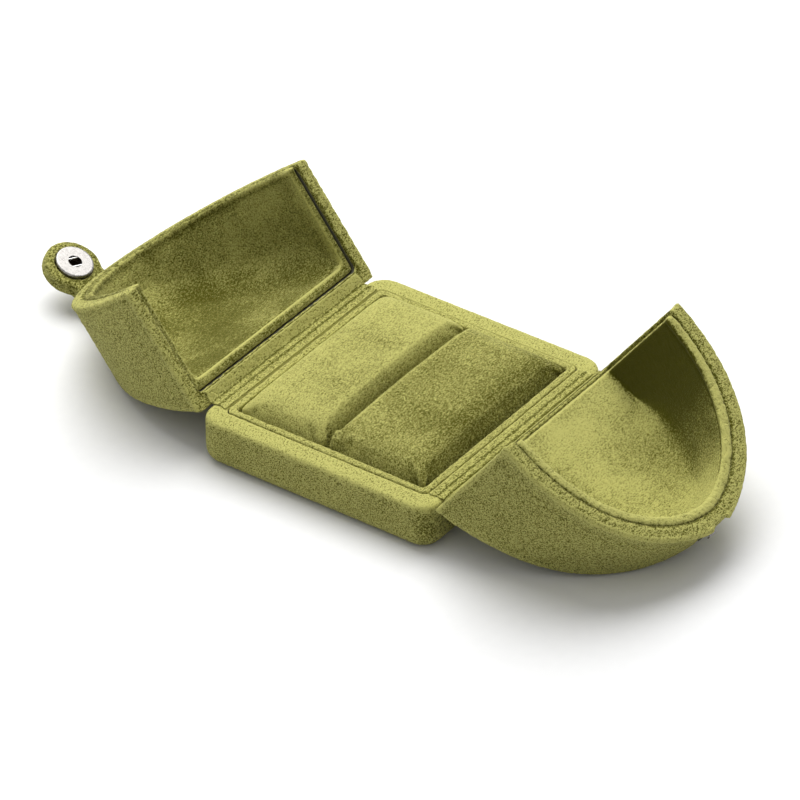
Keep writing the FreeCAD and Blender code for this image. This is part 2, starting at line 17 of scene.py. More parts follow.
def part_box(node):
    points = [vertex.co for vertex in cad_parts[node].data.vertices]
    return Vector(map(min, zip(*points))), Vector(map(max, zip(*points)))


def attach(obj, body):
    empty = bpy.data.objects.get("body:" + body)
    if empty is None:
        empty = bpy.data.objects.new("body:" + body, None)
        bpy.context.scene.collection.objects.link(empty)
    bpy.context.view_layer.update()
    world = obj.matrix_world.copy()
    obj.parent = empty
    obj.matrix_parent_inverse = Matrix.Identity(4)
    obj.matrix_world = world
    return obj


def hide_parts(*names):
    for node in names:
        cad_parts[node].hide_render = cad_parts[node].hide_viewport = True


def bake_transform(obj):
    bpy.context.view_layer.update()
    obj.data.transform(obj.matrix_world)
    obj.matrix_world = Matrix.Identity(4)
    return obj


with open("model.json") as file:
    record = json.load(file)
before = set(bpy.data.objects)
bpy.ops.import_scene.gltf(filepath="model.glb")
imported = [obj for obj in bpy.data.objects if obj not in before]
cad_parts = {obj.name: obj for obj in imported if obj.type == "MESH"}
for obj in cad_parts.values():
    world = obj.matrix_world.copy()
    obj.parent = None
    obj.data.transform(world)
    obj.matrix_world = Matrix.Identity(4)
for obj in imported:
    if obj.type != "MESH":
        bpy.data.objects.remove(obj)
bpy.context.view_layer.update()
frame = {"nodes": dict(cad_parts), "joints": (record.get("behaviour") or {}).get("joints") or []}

bl_info = {
    "name": "Velvet ring box",
    "version": (1, 0, 0),
    "blender": (4, 5, 0),
    "location": "3D View > Sidebar > Ring Box",
    "description": "Velvet, padding, cloth hinges and metal finishes for a two-leaf ring box",
    "category": "Object",
}

MM = 1000.0
TINY = 1e-9
MERGE_DISTANCE = 1e-6

# Offsets that keep one noise from repeating another.
SEEDS = {"ruffle": 7.3, "knobs": 1.7, "seam": 5.0, "clouds": 3.1}


def linear(code):
    """A hex sRGB colour as linear red, green, blue and alpha."""
    shares = [int(code[n:n + 2], 16) / 255 for n in (0, 2, 4)]
    return [c / 12.92 if c <= 0.04045 else ((c + 0.055) / 1.055) ** 2.4 for c in shares] + [1.0]


def length(name, description, default):
    return FloatProperty(
        name=name, description=description, default=default, min=0.0, unit="LENGTH")


def colour(name, description, code):
    return FloatVectorProperty(
        name=name, description=description, default=linear(code)[:3], size=3,
        min=0.0, max=1.0, subtype="COLOR")


class RINGBOX_PG_velvet(bpy.types.PropertyGroup):
    # Both tones also carry painted light: the light one painted highlight and lit places, the dark
    # one painted shade.
    light: colour("Light nap", "Velvet where its pile lies towards the light", "BDBA6B")
    dark: colour("Dark nap", "Velvet where its pile lies away from the light", "4C4B05")
    pile: length("Pile depth", "How far the pile's tufts stand up and down", 0.00008)
    ruffle: length("Ruffle depth", "How far the disturbed pile beside an edge stands up", 0.00022)
    net: length("Net spacing", "Spacing of the points that carry the pile", 0.0004)


class RINGBOX_PG_covers(bpy.types.PropertyGroup):
    groin: length("Groin rounding", "Rounding where the arch meets the curved back", 0.003)
    groin_foot: length("Groin rounding at the rim", "Rounding of that edge beside the hinge", 0.001)
    groin_rise: length("Groin rise", "Height over which the rounding grows", 0.018)
    bowl: length("Bowl rounding", "Rounding of the lining where floor and sides meet", 0.014)
    bowl_start: length("Bowl start", "Height to which the right lining keeps a sharp corner", 0.009)
    bowl_rise: length("Bowl rise", "Height over which a lining's rounding then grows", 0.014)
    hem: length("Hem", "How far the folded hem stands up along the parting", 0.0004)
    ruffle_inset: length("Ruffle inset", "Middle of the disturbed pile behind a rim", 0.005)
    lip: length("Liner lip", "How far the liner's folded edge swells inwards at the hinge", 0.0006)


class RINGBOX_PG_pads(bpy.types.PropertyGroup):
    crown: length("Crown", "How far the foam swells its velvet upwards", 0.0008)
    edge_fall: length("Edge fall", "Width over which a pad's top falls to the collar", 0.0075)
    soft_fall: length("Slot fall", "Width over which the left pad falls into the slot", 0.0044)
    crest_round: length("Crest rounding", "Rounding of the right pad's edge at the slot", 0.0013)
    edge_height: length("Edge height", "Height of a pad's edge above the table", 0.0128)


class RINGBOX_PG_hinges(bpy.types.PropertyGroup):
    cloth: length("Cloth thickness", "Hinge cloth with its pile", 0.0003)
    rib: length("Rib spacing", "Spacing of the ribs across the right hinge's cloth", 0.00075)


class RINGBOX_PG_stage(bpy.types.PropertyGroup):
    key_power: FloatProperty(
        name="Key power", description="Power of the soft box", default=15.0, unit="POWER")
    fill: FloatProperty(
        name="Fill", description="Strength of the light from straight above", default=0.64)
    floor: colour("Floor", "Colour of the floor under the box", "E4E4E4")


SETTINGS = {
    "velvet": RINGBOX_PG_velvet,
    "covers": RINGBOX_PG_covers,
    "pads": RINGBOX_PG_pads,
    "hinges": RINGBOX_PG_hinges,
    "stage": RINGBOX_PG_stage,
}


def setting(group):
    return getattr(bpy.context.scene, f"ringbox_{group}")


# ---- meshes as arrays of points in millimetres ----

def copied(*nodes):
    """One mesh of CAD nodes, with their doubled points merged."""
    work = bmesh.new()
    for node in nodes:
        work.from_mesh(frame["nodes"][node].data)
    bmesh.ops.remove_doubles(work, verts=work.verts, dist=MERGE_DISTANCE)
    return as_mesh(work, nodes[0])


def as_mesh(work, name):
    mesh = bpy.data.meshes.new(name)
    work.to_mesh(mesh)
    work.free()
    return mesh


def with_modifier(mesh, kind, **settings):
    """The mesh after one modifier."""
    holder = bpy.data.objects.new("holder", mesh)
    bpy.context.scene.collection.objects.link(holder)
    modifier = holder.modifiers.new("step", kind)
    for name, value in settings.items():
        setattr(modifier, name, value)
    return after_modifiers(holder)


def after_modifiers(holder):
    """The mesh of a holder with its modifiers applied; the holder and its old mesh go."""
    depsgraph = bpy.context.evaluated_depsgraph_get()
    made = bpy.data.meshes.new_from_object(holder.evaluated_get(depsgraph))
    old = holder.data
    bpy.data.objects.remove(holder)
    bpy.data.meshes.remove(old)
    return made


def netted(mesh, spacing):
    """The mesh laid out again as an even net of that spacing."""
    return with_modifier(
        mesh, "REMESH", mode="VOXEL", voxel_size=spacing / MM, use_smooth_shade=True)


def points_of(mesh):
    flat = np.empty(len(mesh.vertices) * 3)
    mesh.vertices.foreach_get("co", flat)
    return flat.reshape(-1, 3) * MM


def move_points(mesh, points):
    mesh.vertices.foreach_set("co", (points / MM).ravel())
    mesh.update()


def normals_of(mesh):
    flat = np.empty(len(mesh.vertices) * 3)
    mesh.vertex_normals.foreach_get("vector", flat)
    return flat.reshape(-1, 3)


def edges_of(mesh):
    flat = np.empty(len(mesh.edges) * 2, int)
    mesh.edges.foreach_get("vertices", flat)
    return flat.reshape(-1, 2)


def relaxed(mesh, points, rounds, share=0.5):
    """The points, each moved by its share towards the middle of its neighbours, several times."""
    start, end = edges_of(mesh).T
    total = len(points)
    neighbours = np.bincount(start, minlength=total) + np.bincount(end, minlength=total)
    step = np.broadcast_to(share, total)[:, None]
    for _ in range(rounds):
        middle = np.stack([
            np.bincount(start, values[end], total) + np.bincount(end, values[start], total)
            for values in points.T], axis=1) / neighbours[:, None]
        points = points + step * (middle - points)
    return points


def lumps(points, spacing, seed=0.0):
    """Smooth noise from -1 to 1, with lumps about that far apart; spacing may differ by axis."""
    return np.array([noise.noise(point) for point in (points / spacing + seed).tolist()])


def rising(low, high, value):
    """0 up to low and 1 from high, or the other way round, with a smooth step between."""
    share = np.clip((value - low) / (high - low), 0, 1)
    return share * share * (3 - 2 * share)


def band(value, middle, half):
    return rising(half, 0, np.abs(value - middle))


def paint(mesh, name, values):
    attribute = mesh.attributes.new(name, "FLOAT", "POINT")
    attribute.data.foreach_set("value", np.asarray(values, np.float32))


RIDGE_ROUNDS = 8
RIDGE_HEIGHT = 0.16
PILE_SPACING = 0.9
RUFFLE_SPACING = 1.0
RUFFLE_LEAST = 0.01


def finish_pile(mesh, ruffle, tone_and_painted_light, seed):
    """Raises the pile on a finished form and notes for the material its ridges, for a painted
    highlight on them and painted shade in hollows, its ruffles, and its tone with painted light;
    ruffle and the tone are a value for each point, or one for all of them."""
    pile, depth = setting("velvet").pile * MM, setting("velvet").ruffle * MM
    points, normals = points_of(mesh), normals_of(mesh)
    ruffle, tone_and_painted_light = (np.broadcast_to(value, len(points)) for value in (ruffle, tone_and_painted_light))
    stands_out = ((points - relaxed(mesh, points, RIDGE_ROUNDS)) * normals).sum(axis=1)
    raised = pile * lumps(points, PILE_SPACING, seed)
    rough = ruffle > RUFFLE_LEAST
    tufts = lumps(points[rough], RUFFLE_SPACING, seed + SEEDS["ruffle"])
    raised[rough] += depth * ruffle[rough] * tufts
    move_points(mesh, points + normals * raised[:, None])
    # The ridge mark gives a painted highlight where the surface stands out and painted shade in
    # hollows.
    paint(mesh, "ridge_highlight_and_hollow_shade", np.clip(stands_out / RIDGE_HEIGHT, -1, 1))
    paint(mesh, "ruffle", ruffle)
    paint(mesh, "tone_and_painted_light", tone_and_painted_light)
    return mesh


def show(name, mesh, body, material, replaced=()):
    """Puts a finished mesh in the scene as a piece that moves with a body."""
    mesh.materials.clear()
    mesh.materials.append(material)
    piece = bpy.data.objects.new(name, mesh)
    bpy.context.scene.collection.objects.link(piece)
    if body:
        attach(piece, body)
    if replaced:
        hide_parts(*replaced)
    return piece


# ---- materials ----

def add(tree, kind, inputs=None, **settings):
    """Adds a node; an input is given a value, or another node's output to link."""
    made = tree.nodes.new(kind)
    for name, value in settings.items():
        setattr(made, name, value)
    for name, value in (inputs or {}).items():
        if isinstance(value, bpy.types.NodeSocket):
            tree.links.new(value, made.inputs[name])
        else:
            made.inputs[name].default_value = value
    return made


def new_material(name):
    material = bpy.data.materials.new(name)
    material.use_nodes = True
    material.node_tree.nodes.clear()
    return material, material.node_tree


def millimetres(tree, scale=(1, 1, 1), turn=(0, 0, 0)):
    """The piece's own coordinates in millimetres, turned and then stretched by a Mapping node."""
    place = add(tree, "ShaderNodeTexCoord")
    size = [MM * share for share in scale]
    return add(tree, "ShaderNodeMapping", {
        "Vector": place.outputs["Object"], "Rotation": turn, "Scale": size,
    }).outputs["Vector"]


def weighted(tree, start, *pairs):
    """A start value plus each output less its middle value, times its weight."""
    total = start
    for output, middle, weight in pairs:
        centred = add(tree, "ShaderNodeMath", {0: output, 1: middle}, operation="SUBTRACT")
        scaled = add(
            tree, "ShaderNodeMath", {0: centred.outputs[0], 1: weight, 2: total},
            operation="MULTIPLY_ADD")
        total = scaled.outputs[0]
    return total


def surfaced(tree, share, tones, height, strength, depth, surface):
    """Ends a finish: two tones mixed by a share, relief from a height, and the shader's values."""
    tint = add(tree, "ShaderNodeMix", {
        "Factor": share, "A": tones[0], "B": tones[1]}, data_type="RGBA")
    relief = add(tree, "ShaderNodeBump", {
        "Height": height, "Strength": strength, "Distance": depth / MM})
    shader = add(tree, "ShaderNodeBsdfPrincipled", {
        "Base Color": tint.outputs["Result"], "Normal": relief.outputs["Normal"], **surface})
    add(tree, "ShaderNodeOutputMaterial", {"Surface": shader.outputs[0]})


# A velvet's patterns. A real tuft is under 0.1 mm across; these are as coarse as it takes to show.
TUFT_SIZE = (0.3, 0.75, 0.3)
GRAIN_SIZE = 0.34
CLUMP_SIZE = 0.85

# Size and strength of the nap's clouds, turn of the tufts, strength of the grain, and mean tone
# from dark (0) to light (1).
VELVETS = {
    "outside": dict(nap_size=13.0, nap_weight=0.4, turn=(0.0, 0.0, 0.7), grain_weight=4.6, tone=0.6),
    "lining": dict(nap_size=12.0, nap_weight=1.1, turn=(0.3, 0.0, 1.2), grain_weight=2.6, tone=0.53),
    "pads": dict(nap_size=15.0, nap_weight=0.6, turn=(0.0, 0.0, 1.1), grain_weight=2.6, tone=0.56),
    "hinges": dict(nap_size=9.0, nap_weight=0.4, turn=(0.0, 0.0, 1.57), grain_weight=4.0, tone=0.62),
}


@functools.cache
def velvet(use):
    """Cut-pile polyester velvet, glued over board: its brushed nap gives the eye soft light and dark
    clouds, its tufts a sharp fine grain along the lie of the pile, and rubbed edges knobs.
    Its tone also carries painted light: a painted highlight on ridges, painted shade in hollows, and
    the painted light and shade marked on each piece."""
    material, tree = new_material(f"polyester_velvet_{use}")
    look = VELVETS[use]
    plain = millimetres(tree)
    along = millimetres(tree, scale=[1 / size for size in TUFT_SIZE], turn=look["turn"])
    nap, tufts, grain, clumps = (
        add(tree, "ShaderNodeTexNoise", inputs).outputs["Fac"] for inputs in (
            {"Vector": plain, "Scale": 1 / look["nap_size"], "Distortion": 0.5},
            {"Vector": along, "Scale": 1.0, "Detail": 3.0, "Roughness": 0.7},
            {"Vector": plain, "Scale": 1 / GRAIN_SIZE, "Roughness": 0.7},
            {"Vector": plain, "Scale": 1 / CLUMP_SIZE, "Roughness": 0.6}))
    ruffle, ridge_highlight_and_hollow_shade, tone_and_painted_light = (
        add(tree, "ShaderNodeAttribute", attribute_name=name).outputs["Fac"]
        for name in ("ruffle", "ridge_highlight_and_hollow_shade", "tone_and_painted_light"))
    centred = add(tree, "ShaderNodeMath", {0: clumps, 1: 0.5}, operation="SUBTRACT").outputs[0]
    knobs = add(tree, "ShaderNodeMath", {0: ruffle, 1: centred}, operation="MULTIPLY").outputs[0]
    weight = look["grain_weight"]
    # The tone takes painted highlight on ridges, painted shade in hollows, and each piece's painted
    # light and shade.
    share = weighted(
        tree, look["tone"],
        (nap, 0.5, look["nap_weight"]), (tufts, 0.5, weight), (grain, 0.5, 0.75 * weight),
        (knobs, 0.0, 3.0), (ridge_highlight_and_hollow_shade, 0.0, 0.5), (tone_and_painted_light, 0.0, 0.5))
    height = weighted(tree, 0.0, (tufts, 0.5, 1.0), (grain, 0.5, 0.7), (knobs, 0.0, 2.5))
    tones = [[*tone, 1.0] for tone in (setting("velvet").dark, setting("velvet").light)]
    surfaced(tree, share, tones, height, strength=0.9, depth=0.4, surface={
        "Roughness": 0.92, "Specular IOR Level": 0.15, "Sheen Weight": 0.2,
        "Sheen Roughness": 0.4, "Sheen Tint": linear("EFEBA8")})
    return material


@functools.cache
def moulded_board():
    """Injection-moulded polystyrene, dyed dark olive so that seams show less: the fine satin grain
    of a spark-eroded tool, with faint flow clouds."""
    material, tree = new_material("moulded_polystyrene")
    place = millimetres(tree)
    grain, cloud = (
        add(tree, "ShaderNodeTexNoise", {"Vector": place, "Scale": 1 / size}).outputs["Fac"]
        for size in (0.4, 9.0))
    share = weighted(tree, 0.5, (grain, 0.5, 0.6), (cloud, 0.5, 0.8))
    tones = linear("32311A"), linear("424022")
    surfaced(tree, share, tones, grain, strength=0.3, depth=0.04, surface={
        "Roughness": 0.55, "IOR": 1.59})
    return material


@functools.cache
def greyboard():
    """Pressed greyboard cut with a knife: warm grey-brown with flecks of long fibre."""
    material, tree = new_material("pressed_greyboard")
    along = millimetres(tree, scale=(1 / 0.3, 1 / 2.5, 1 / 0.3))
    fibre = add(tree, "ShaderNodeTexNoise", {
        "Vector": along, "Scale": 1.0, "Detail": 4.0}).outputs["Fac"]
    cloud = add(tree, "ShaderNodeTexNoise", {
        "Vector": millimetres(tree), "Scale": 1 / 6.0}).outputs["Fac"]
    share = weighted(tree, 0.5, (fibre, 0.5, 1.2), (cloud, 0.5, 0.6))
    tones = linear("9A8468"), linear("BBA88C")
    surfaced(tree, share, tones, fibre, strength=0.4, depth=0.05, surface={
        "Roughness": 0.85, "Specular IOR Level": 0.3})
    return material


@functools.cache
def flocked_sheet():
    """Short flock on paper, glued under the tray: a darker, even felt with light fibre ends."""
    material, tree = new_material("flocked_paper")
    place = millimetres(tree)
    flock = add(tree, "ShaderNodeTexNoise", {
        "Vector": place, "Scale": 1 / 0.5, "Detail": 3.0, "Roughness": 0.65}).outputs["Fac"]
    wear = add(tree, "ShaderNodeTexNoise", {
        "Vector": place, "Scale": 1 / 11.0, "Detail": 3.0}).outputs["Fac"]
    share = weighted(tree, 0.45, (flock, 0.5, 1.4), (wear, 0.5, 0.7))
    tones = linear("5A5930"), linear("807E4E")
    surfaced(tree, share, tones, flock, strength=0.6, depth=0.12, surface={
        "Roughness": 0.95, "Specular IOR Level": 0.15, "Sheen Weight": 0.2})
    return material


@functools.cache
def bright_nickel():
    """Bright nickel on stamped brass: a mirror softened by fine tumbling scratches and cloudy
    handling marks, which keep the disc pale from every side."""
    material, tree = new_material("bright_nickel_plate")
    along = millimetres(tree, scale=(1 / 0.15, 1 / 2.0, 1 / 0.15), turn=(0, 0.5, 0.6))
    scratches = add(tree, "ShaderNodeTexNoise", {
        "Vector": along, "Scale": 1.0, "Detail": 3.0}).outputs["Fac"]
    haze = add(tree, "ShaderNodeTexNoise", {
        "Vector": millimetres(tree), "Scale": 1 / 0.9, "Detail": 3.0, "Roughness": 0.65,
    }).outputs["Fac"]
    roughness = add(tree, "ShaderNodeMapRange", {
        "Value": haze, "From Min": 0.3, "From Max": 0.7, "To Min": 0.2, "To Max": 0.38})
    tones = linear("3E3C3A"), linear("B3B0AC")
    surfaced(tree, haze, tones, scratches, strength=0.25, depth=0.03, surface={
        "Metallic": 1.0, "Roughness": roughness.outputs["Result"]})
    return material


@functools.cache
def dull_brass():
    """Unplated brass of the snap's inside: brown with tarnish clouds, seen only down the bore; its
    dark tone is partly painted shade for the bore.
    """
    material, tree = new_material("tarnished_brass_and_bore_shade")
    cloud = add(tree, "ShaderNodeTexNoise", {
        "Vector": millimetres(tree), "Scale": 1 / 0.8, "Detail": 3.0}).outputs["Fac"]
    tones = linear("2E2620"), linear("6A5646")
    surfaced(tree, cloud, tones, cloud, strength=0.3, depth=0.05, surface={
        "Metallic": 1.0, "Roughness": 0.55})
    return material


@functools.cache
def spring_steel():
    """Drawn music wire: bright steel with fine lines along its length."""
    material, tree = new_material("drawn_spring_steel")
    along = millimetres(tree, scale=(1 / 1.5, 1 / 0.05, 1 / 0.05))
    lines = add(tree, "ShaderNodeTexNoise", {"Vector": along, "Scale": 1.0}).outputs["Fac"]
    roughness = add(tree, "ShaderNodeMapRange", {
        "Value": lines, "From Min": 0.3, "From Max": 0.7, "To Min": 0.18, "To Max": 0.32})
    shader = add(tree, "ShaderNodeBsdfPrincipled", {
        "Base Color": linear("D8D8D8"), "Metallic": 1.0, "Roughness": roughness.outputs["Result"]})
    add(tree, "ShaderNodeOutputMaterial", {"Surface": shader.outputs[0]})
    return material


# ---- covers ----

# A shut cover's form, as in the CAD model.
PIN_HEIGHT = 12.0
RIM_LIFT = 0.4
PARTING = 0.3
ARCH_SIDE_POWER = 1.8
ARCH_TOP_POWER = 2.28
BACK_POWER = 3.5
BACK_OVERSHOOT = 0.6
SIDES = {"left": -1, "right": 1}

# The search for a cover's surface, outwards from its foot.
FARTHEST = 90.0
HALVINGS = 30

# The net of a hidden piece, and how a form is softened. From here on, a pair is the two ends of a
# fade for rising, or the middle and half width of a band.
HIDDEN_NET = 0.45
NET_ROUNDS = 2
RIM_ROUNDS = 3
RIM_FADE = (2.4, 1.0)
BOWL_ROUNDS = 70
BOWL_FADE = (1.5, 6.0)

# The seam in the rims, and the knobs that swell to close it.
SEAM = (3.3, 0.75)
SEAM_WANDER = 0.35
SEAM_SPACING = 1.3
SEAM_FADE = (1.2, 0.5)
SEAM_SHADE = 2.2
RIM_SWELL = 0.22
SWELL_FADE = (1.8, 0.8)
FACE_TILT = (0.8, 0.4)
KNOB_SHARE = 0.5
KNOB_SPACING = 1.1

# The liner's lips: a full one at the left hinge and a thin one at the right parting.
COVER_HEART = (9.0, 0.0, 26.0)
INWARD_TILT = (0.0, 0.4)
LIP, LIP_CREASE, LIP_CREASE_SHARE = (1.9, 1.3), (3.5, 0.5), 0.45
LIP_ENDS = (22.0, 28.0)
THIN_LIP, THIN_LIP_SHARE = (0.9, 0.8), 0.5
THIN_CREASE, THIN_CREASE_SHARE = (2.0, 0.4), 0.3

# Clouds in the nap, and the lining's painted light (+) and painted shade (-): on the right, a
# lighter lining with painted shade on its far wall, deepest low down; on the left, painted shade on
# the floor, rim faces and parting edge, painted light on the lip, and a darker diagonal band in the
# nap.
CLOUD_SPACING = 16.0
CLOUD_SHARE = 0.25
WALL_TILT, WALL_FALL = (0.4, 0.85), (25.0, 10.0)
FLOOR_TILT = (0.3, 0.95)
LIP_TOP = (4.5, 2.5)
RIM_FACE_TILT, RIM_FACE = (0.5, 0.9), (1.8, 0.9)
EDGE_FADE, EDGE_START = (3.5, 1.5), (3.0, 6.0)
DIAGONAL, DIAGONAL_SLOPE, DIAGONAL_START = (22.0, 9.0), 0.8, (8.0, 16.0)
LINING_PAINTED_LIGHT_AND_NAP = {
    "right": dict(plain=0.5, wall=-1.2, low_wall=-2.2),
    "left": dict(plain=0.1, floor=-0.85, lip=0.5, diagonal=-0.3, rim_face=-1.6, edge=-0.35),
}

# The disturbed pile beside the rims, and the hem, which leaves room for the stud and the snap.
RUFFLE_HALF = 1.5
RIM_RUFFLE, RIM_RUFFLE_SHARE = (0.3, 1.8), 0.2
LINER_RUFFLE_SHARE = 0.7
FRONT_RUFFLE, FRONT_RUFFLE_SHARE = (2.0, -8.0), 0.45
STUD_PLACE = 4.9
STUD_LEVEL = 45.0
UP_TILT, SIDE_TILT = (0.2, 0.7), (0.3, 0.7)
HEM_FADE = (4.2, 1.2)
HEM_START = (4.75, 5.2)
HEM_SWELL, HEM_SWELL_SHARE = (10.0, 5.0), 0.9
PRESSED, PRESS_DEPTH = (5.0, 4.7), 0.16


def hinge_of(side):
    return next(joint for joint in frame["joints"] if joint["child"] == f"{side}_cover")


def swung(points, side, share):
    """The points turned about a cover's hinge, by that share of the way to shut."""
    hinge = hinge_of(side)
    pin = np.array(hinge["pos_m"]) * MM
    angle = math.radians(hinge["range_deg"][1]) * share
    turn = np.array(Matrix.Rotation(angle, 3, Vector(hinge["axis"])))
    return (points - pin) @ turn.T + pin


def cover_size():
    """Half length, half width and height of a shut cover above its rim."""
    velvet_points = swung(points_of(frame["nodes"]["right_cover_velvet"].data), "right", 1)
    pin = hinge_of("right")["pos_m"]
    rim = PIN_HEIGHT + RIM_LIFT
    return pin[0] * MM, np.abs(velvet_points[:, 1]).max(), velvet_points[:, 2].max() - rim


COVER_SIZE = cover_size()


def arch_and_back(points):
    """Depths under a shut cover's arch and back, and the cosine between their slopes."""
    half_length, half_width, height = COVER_SIZE
    tall = height + BACK_OVERSHOOT
    x, y, z = points.T
    side = (y / half_width) ** ARCH_SIDE_POWER
    top = (z / height) ** ARCH_TOP_POWER
    arch_y = ARCH_SIDE_POWER * side / np.maximum(y, TINY)
    arch_z = ARCH_TOP_POWER * top / np.maximum(z, TINY)
    run = (x / half_length) ** BACK_POWER
    back_x = BACK_POWER * run / np.maximum(x, TINY)
    back_z = 1 / tall
    arch_slope = np.hypot(arch_y, arch_z) + TINY
    back_slope = np.hypot(back_x, back_z) + TINY
    arch = (1 - side - top) / arch_slope
    back = (1 - run - z / tall) / back_slope
    return arch, back, arch_z * back_z / (arch_slope * back_slope)


def reach_along(directions, depth_at):
    """How far each direction runs from the cover's foot before the depth falls to nothing."""
    near, far = np.zeros(len(directions)), np.full(len(directions), FARTHEST)
    for _ in range(HALVINGS):
        middle = (near + far) / 2
        inside = depth_at(directions * middle[:, None]) > 0
        near, far = np.where(inside, middle, near), np.where(inside, far, middle)
    return near


def groin_rounded(points, full, start, end):
    """Points of a shut cover drawn towards its foot, so that the edge of arch and back is round."""
    foot = setting("covers").groin_foot * MM
    rim = np.array([0.0, 0.0, PIN_HEIGHT + RIM_LIFT])
    local = points - rim
    mirrored = np.abs(local)
    mirrored[:, 2] = np.maximum(local[:, 2], 0)
    directions = mirrored / (np.linalg.norm(mirrored, axis=1)[:, None] + TINY)
    sharp = reach_along(directions, lambda at: np.minimum(*arch_and_back(at)[:2]))
    surface = directions * sharp[:, None]
    square = 1 - arch_and_back(surface)[2]
    radius = (foot + (full - foot) * rising(start, end, surface[:, 2])) * square

    def rounded_depth(at):
        arch, back, _ = arch_and_back(at)
        return radius - np.hypot(np.maximum(radius - arch, 0), np.maximum(radius - back, 0))

    share = reach_along(directions, rounded_depth) / np.maximum(sharp, TINY)
    return rim + local * share[:, None]


def from_rims(points):
    """Distances of a shut cover's points behind its parting rim and above its lower rim."""
    return np.abs(points[:, 0]) - PARTING / 2, points[:, 2] - (PIN_HEIGHT + RIM_LIFT)


def lip_swell(points, normals, parting, lower):
    """How far the liner's folded edges swell into the cover: a full lip at the left hinge, a thin
    one at the right parting, and a crease behind each."""
    side = np.sign(points[:, 0].mean())
    towards = np.array(COVER_HEART) * [side, 1, 1] - points
    towards /= np.linalg.norm(towards, axis=1)[:, None]
    inward = rising(*INWARD_TILT, (normals * towards).sum(axis=1))
    hinge_lip = (side < 0) * rising(*LIP_ENDS, np.abs(points[:, 0])) * (
        band(lower, *LIP) - LIP_CREASE_SHARE * band(lower, *LIP_CREASE))
    parting_lip = (side > 0) * (
        THIN_LIP_SHARE * band(parting, *THIN_LIP) - THIN_CREASE_SHARE * band(parting, *THIN_CREASE))
    return setting("covers").lip * MM * inward * np.where(lower < parting, hinge_lip, parting_lip)


def lining_painted_light_and_nap(points, normals, side):
    """The lining's tone: on the right, lighter, with painted shade on the far wall; on the left,
    painted shade on the floor, rim faces and parting edge, painted light on the lip, and a darker
    diagonal band.
    """
    tone_and_painted_light = LINING_PAINTED_LIGHT_AND_NAP[side]
    parting, lower = from_rims(points)
    if side == "right":
        wall = rising(*WALL_TILT, -normals[:, 1]) * (points[:, 1] > 0)
        return tone_and_painted_light["plain"] + wall * (tone_and_painted_light["wall"] + tone_and_painted_light["low_wall"] * rising(*WALL_FALL, lower))
    floor = rising(*FLOOR_TILT, np.abs(normals[:, 0]))
    lip = rising(*LIP_TOP, lower)
    rim_face = rising(*RIM_FACE_TILT, -normals[:, 2]) * rising(*RIM_FACE, lower)
    edge = rising(*EDGE_FADE, parting) * rising(*EDGE_START, lower)
    across = points[:, 1] + DIAGONAL_SLOPE * np.abs(points[:, 0])
    diagonal = band(across, *DIAGONAL) * rising(*DIAGONAL_START, lower)
    return (
        tone_and_painted_light["plain"] + tone_and_painted_light["floor"] * floor * (1 - lip) + tone_and_painted_light["lip"] * lip
        + tone_and_painted_light["diagonal"] * diagonal + tone_and_painted_light["rim_face"] * rim_face + tone_and_painted_light["edge"] * edge)


def formed_cover(node, side, spacing, bowl=False):
    """A cover's node as it lies when shut, with its groin rounded and its rims softened."""
    settings = setting("covers")
    mesh = copied(node)
    move_points(mesh, swung(points_of(mesh), side, 1))
    mesh = netted(mesh, spacing)
    if bowl:
        start = settings.bowl_start * MM if side == "right" else 0.0
        end = start + settings.bowl_rise * MM
        points = groin_rounded(points_of(mesh), settings.bowl * MM, start, end)
        parting, lower = from_rims(points)
        soft = rising(*BOWL_FADE, parting) * rising(*BOWL_FADE, lower - start)
        points = relaxed(mesh, points, BOWL_ROUNDS, 0.5 * soft)
    else:
        points = groin_rounded(points_of(mesh), settings.groin * MM, 0, settings.groin_rise * MM)
    points = relaxed(mesh, points, NET_ROUNDS)
    nearest = np.minimum(*from_rims(points))
    move_points(mesh, relaxed(mesh, points, RIM_ROUNDS, 0.5 * rising(*RIM_FADE, nearest)))
    return mesh


def seam(points, seed):
    """The ragged dark seam in the rims, between a cover's covering and its liner."""
    arch, back, _ = arch_and_back(np.abs(points - [0.0, 0.0, PIN_HEIGHT + RIM_LIFT]))
    wander = SEAM_WANDER * lumps(points, SEAM_SPACING, seed + SEEDS["seam"])
    nearest = np.minimum(*from_rims(points))
    return band(np.minimum(arch, back) + wander, *SEAM) * rising(*SEAM_FADE, nearest)


def clouds_and_seam_shade(points, seed):
    """A cover's tone: soft clouds in its nap, and painted shade in the seam."""
    clouds = CLOUD_SHARE * lumps(points, CLOUD_SPACING, seed + SEEDS["clouds"])
    return clouds - SEAM_SHADE * seam(points, seed)


def swollen_rims(mesh, side, seed, *swells):
    """The mesh with knobbly rims that close the seam between covering and liner."""
    points, normals = points_of(mesh), normals_of(mesh)
    parting, lower = from_rims(points)
    facing = np.where(parting < lower, -normals[:, 0] * SIDES[side], -normals[:, 2])
    knobs = 1 + KNOB_SHARE * lumps(points, KNOB_SPACING, seed + SEEDS["knobs"])
    near = rising(*SWELL_FADE, np.minimum(parting, lower))
    swell = RIM_SWELL * knobs * near * rising(*FACE_TILT, facing)
    for extra in swells:
        swell = swell + extra(points, normals, parting, lower)
    move_points(mesh, points + normals * swell[:, None])


def shown_cover(name, mesh, side, material, node):
    move_points(mesh, swung(points_of(mesh), side, -1))
    show(name, mesh, f"{side}_cover", material, [node])


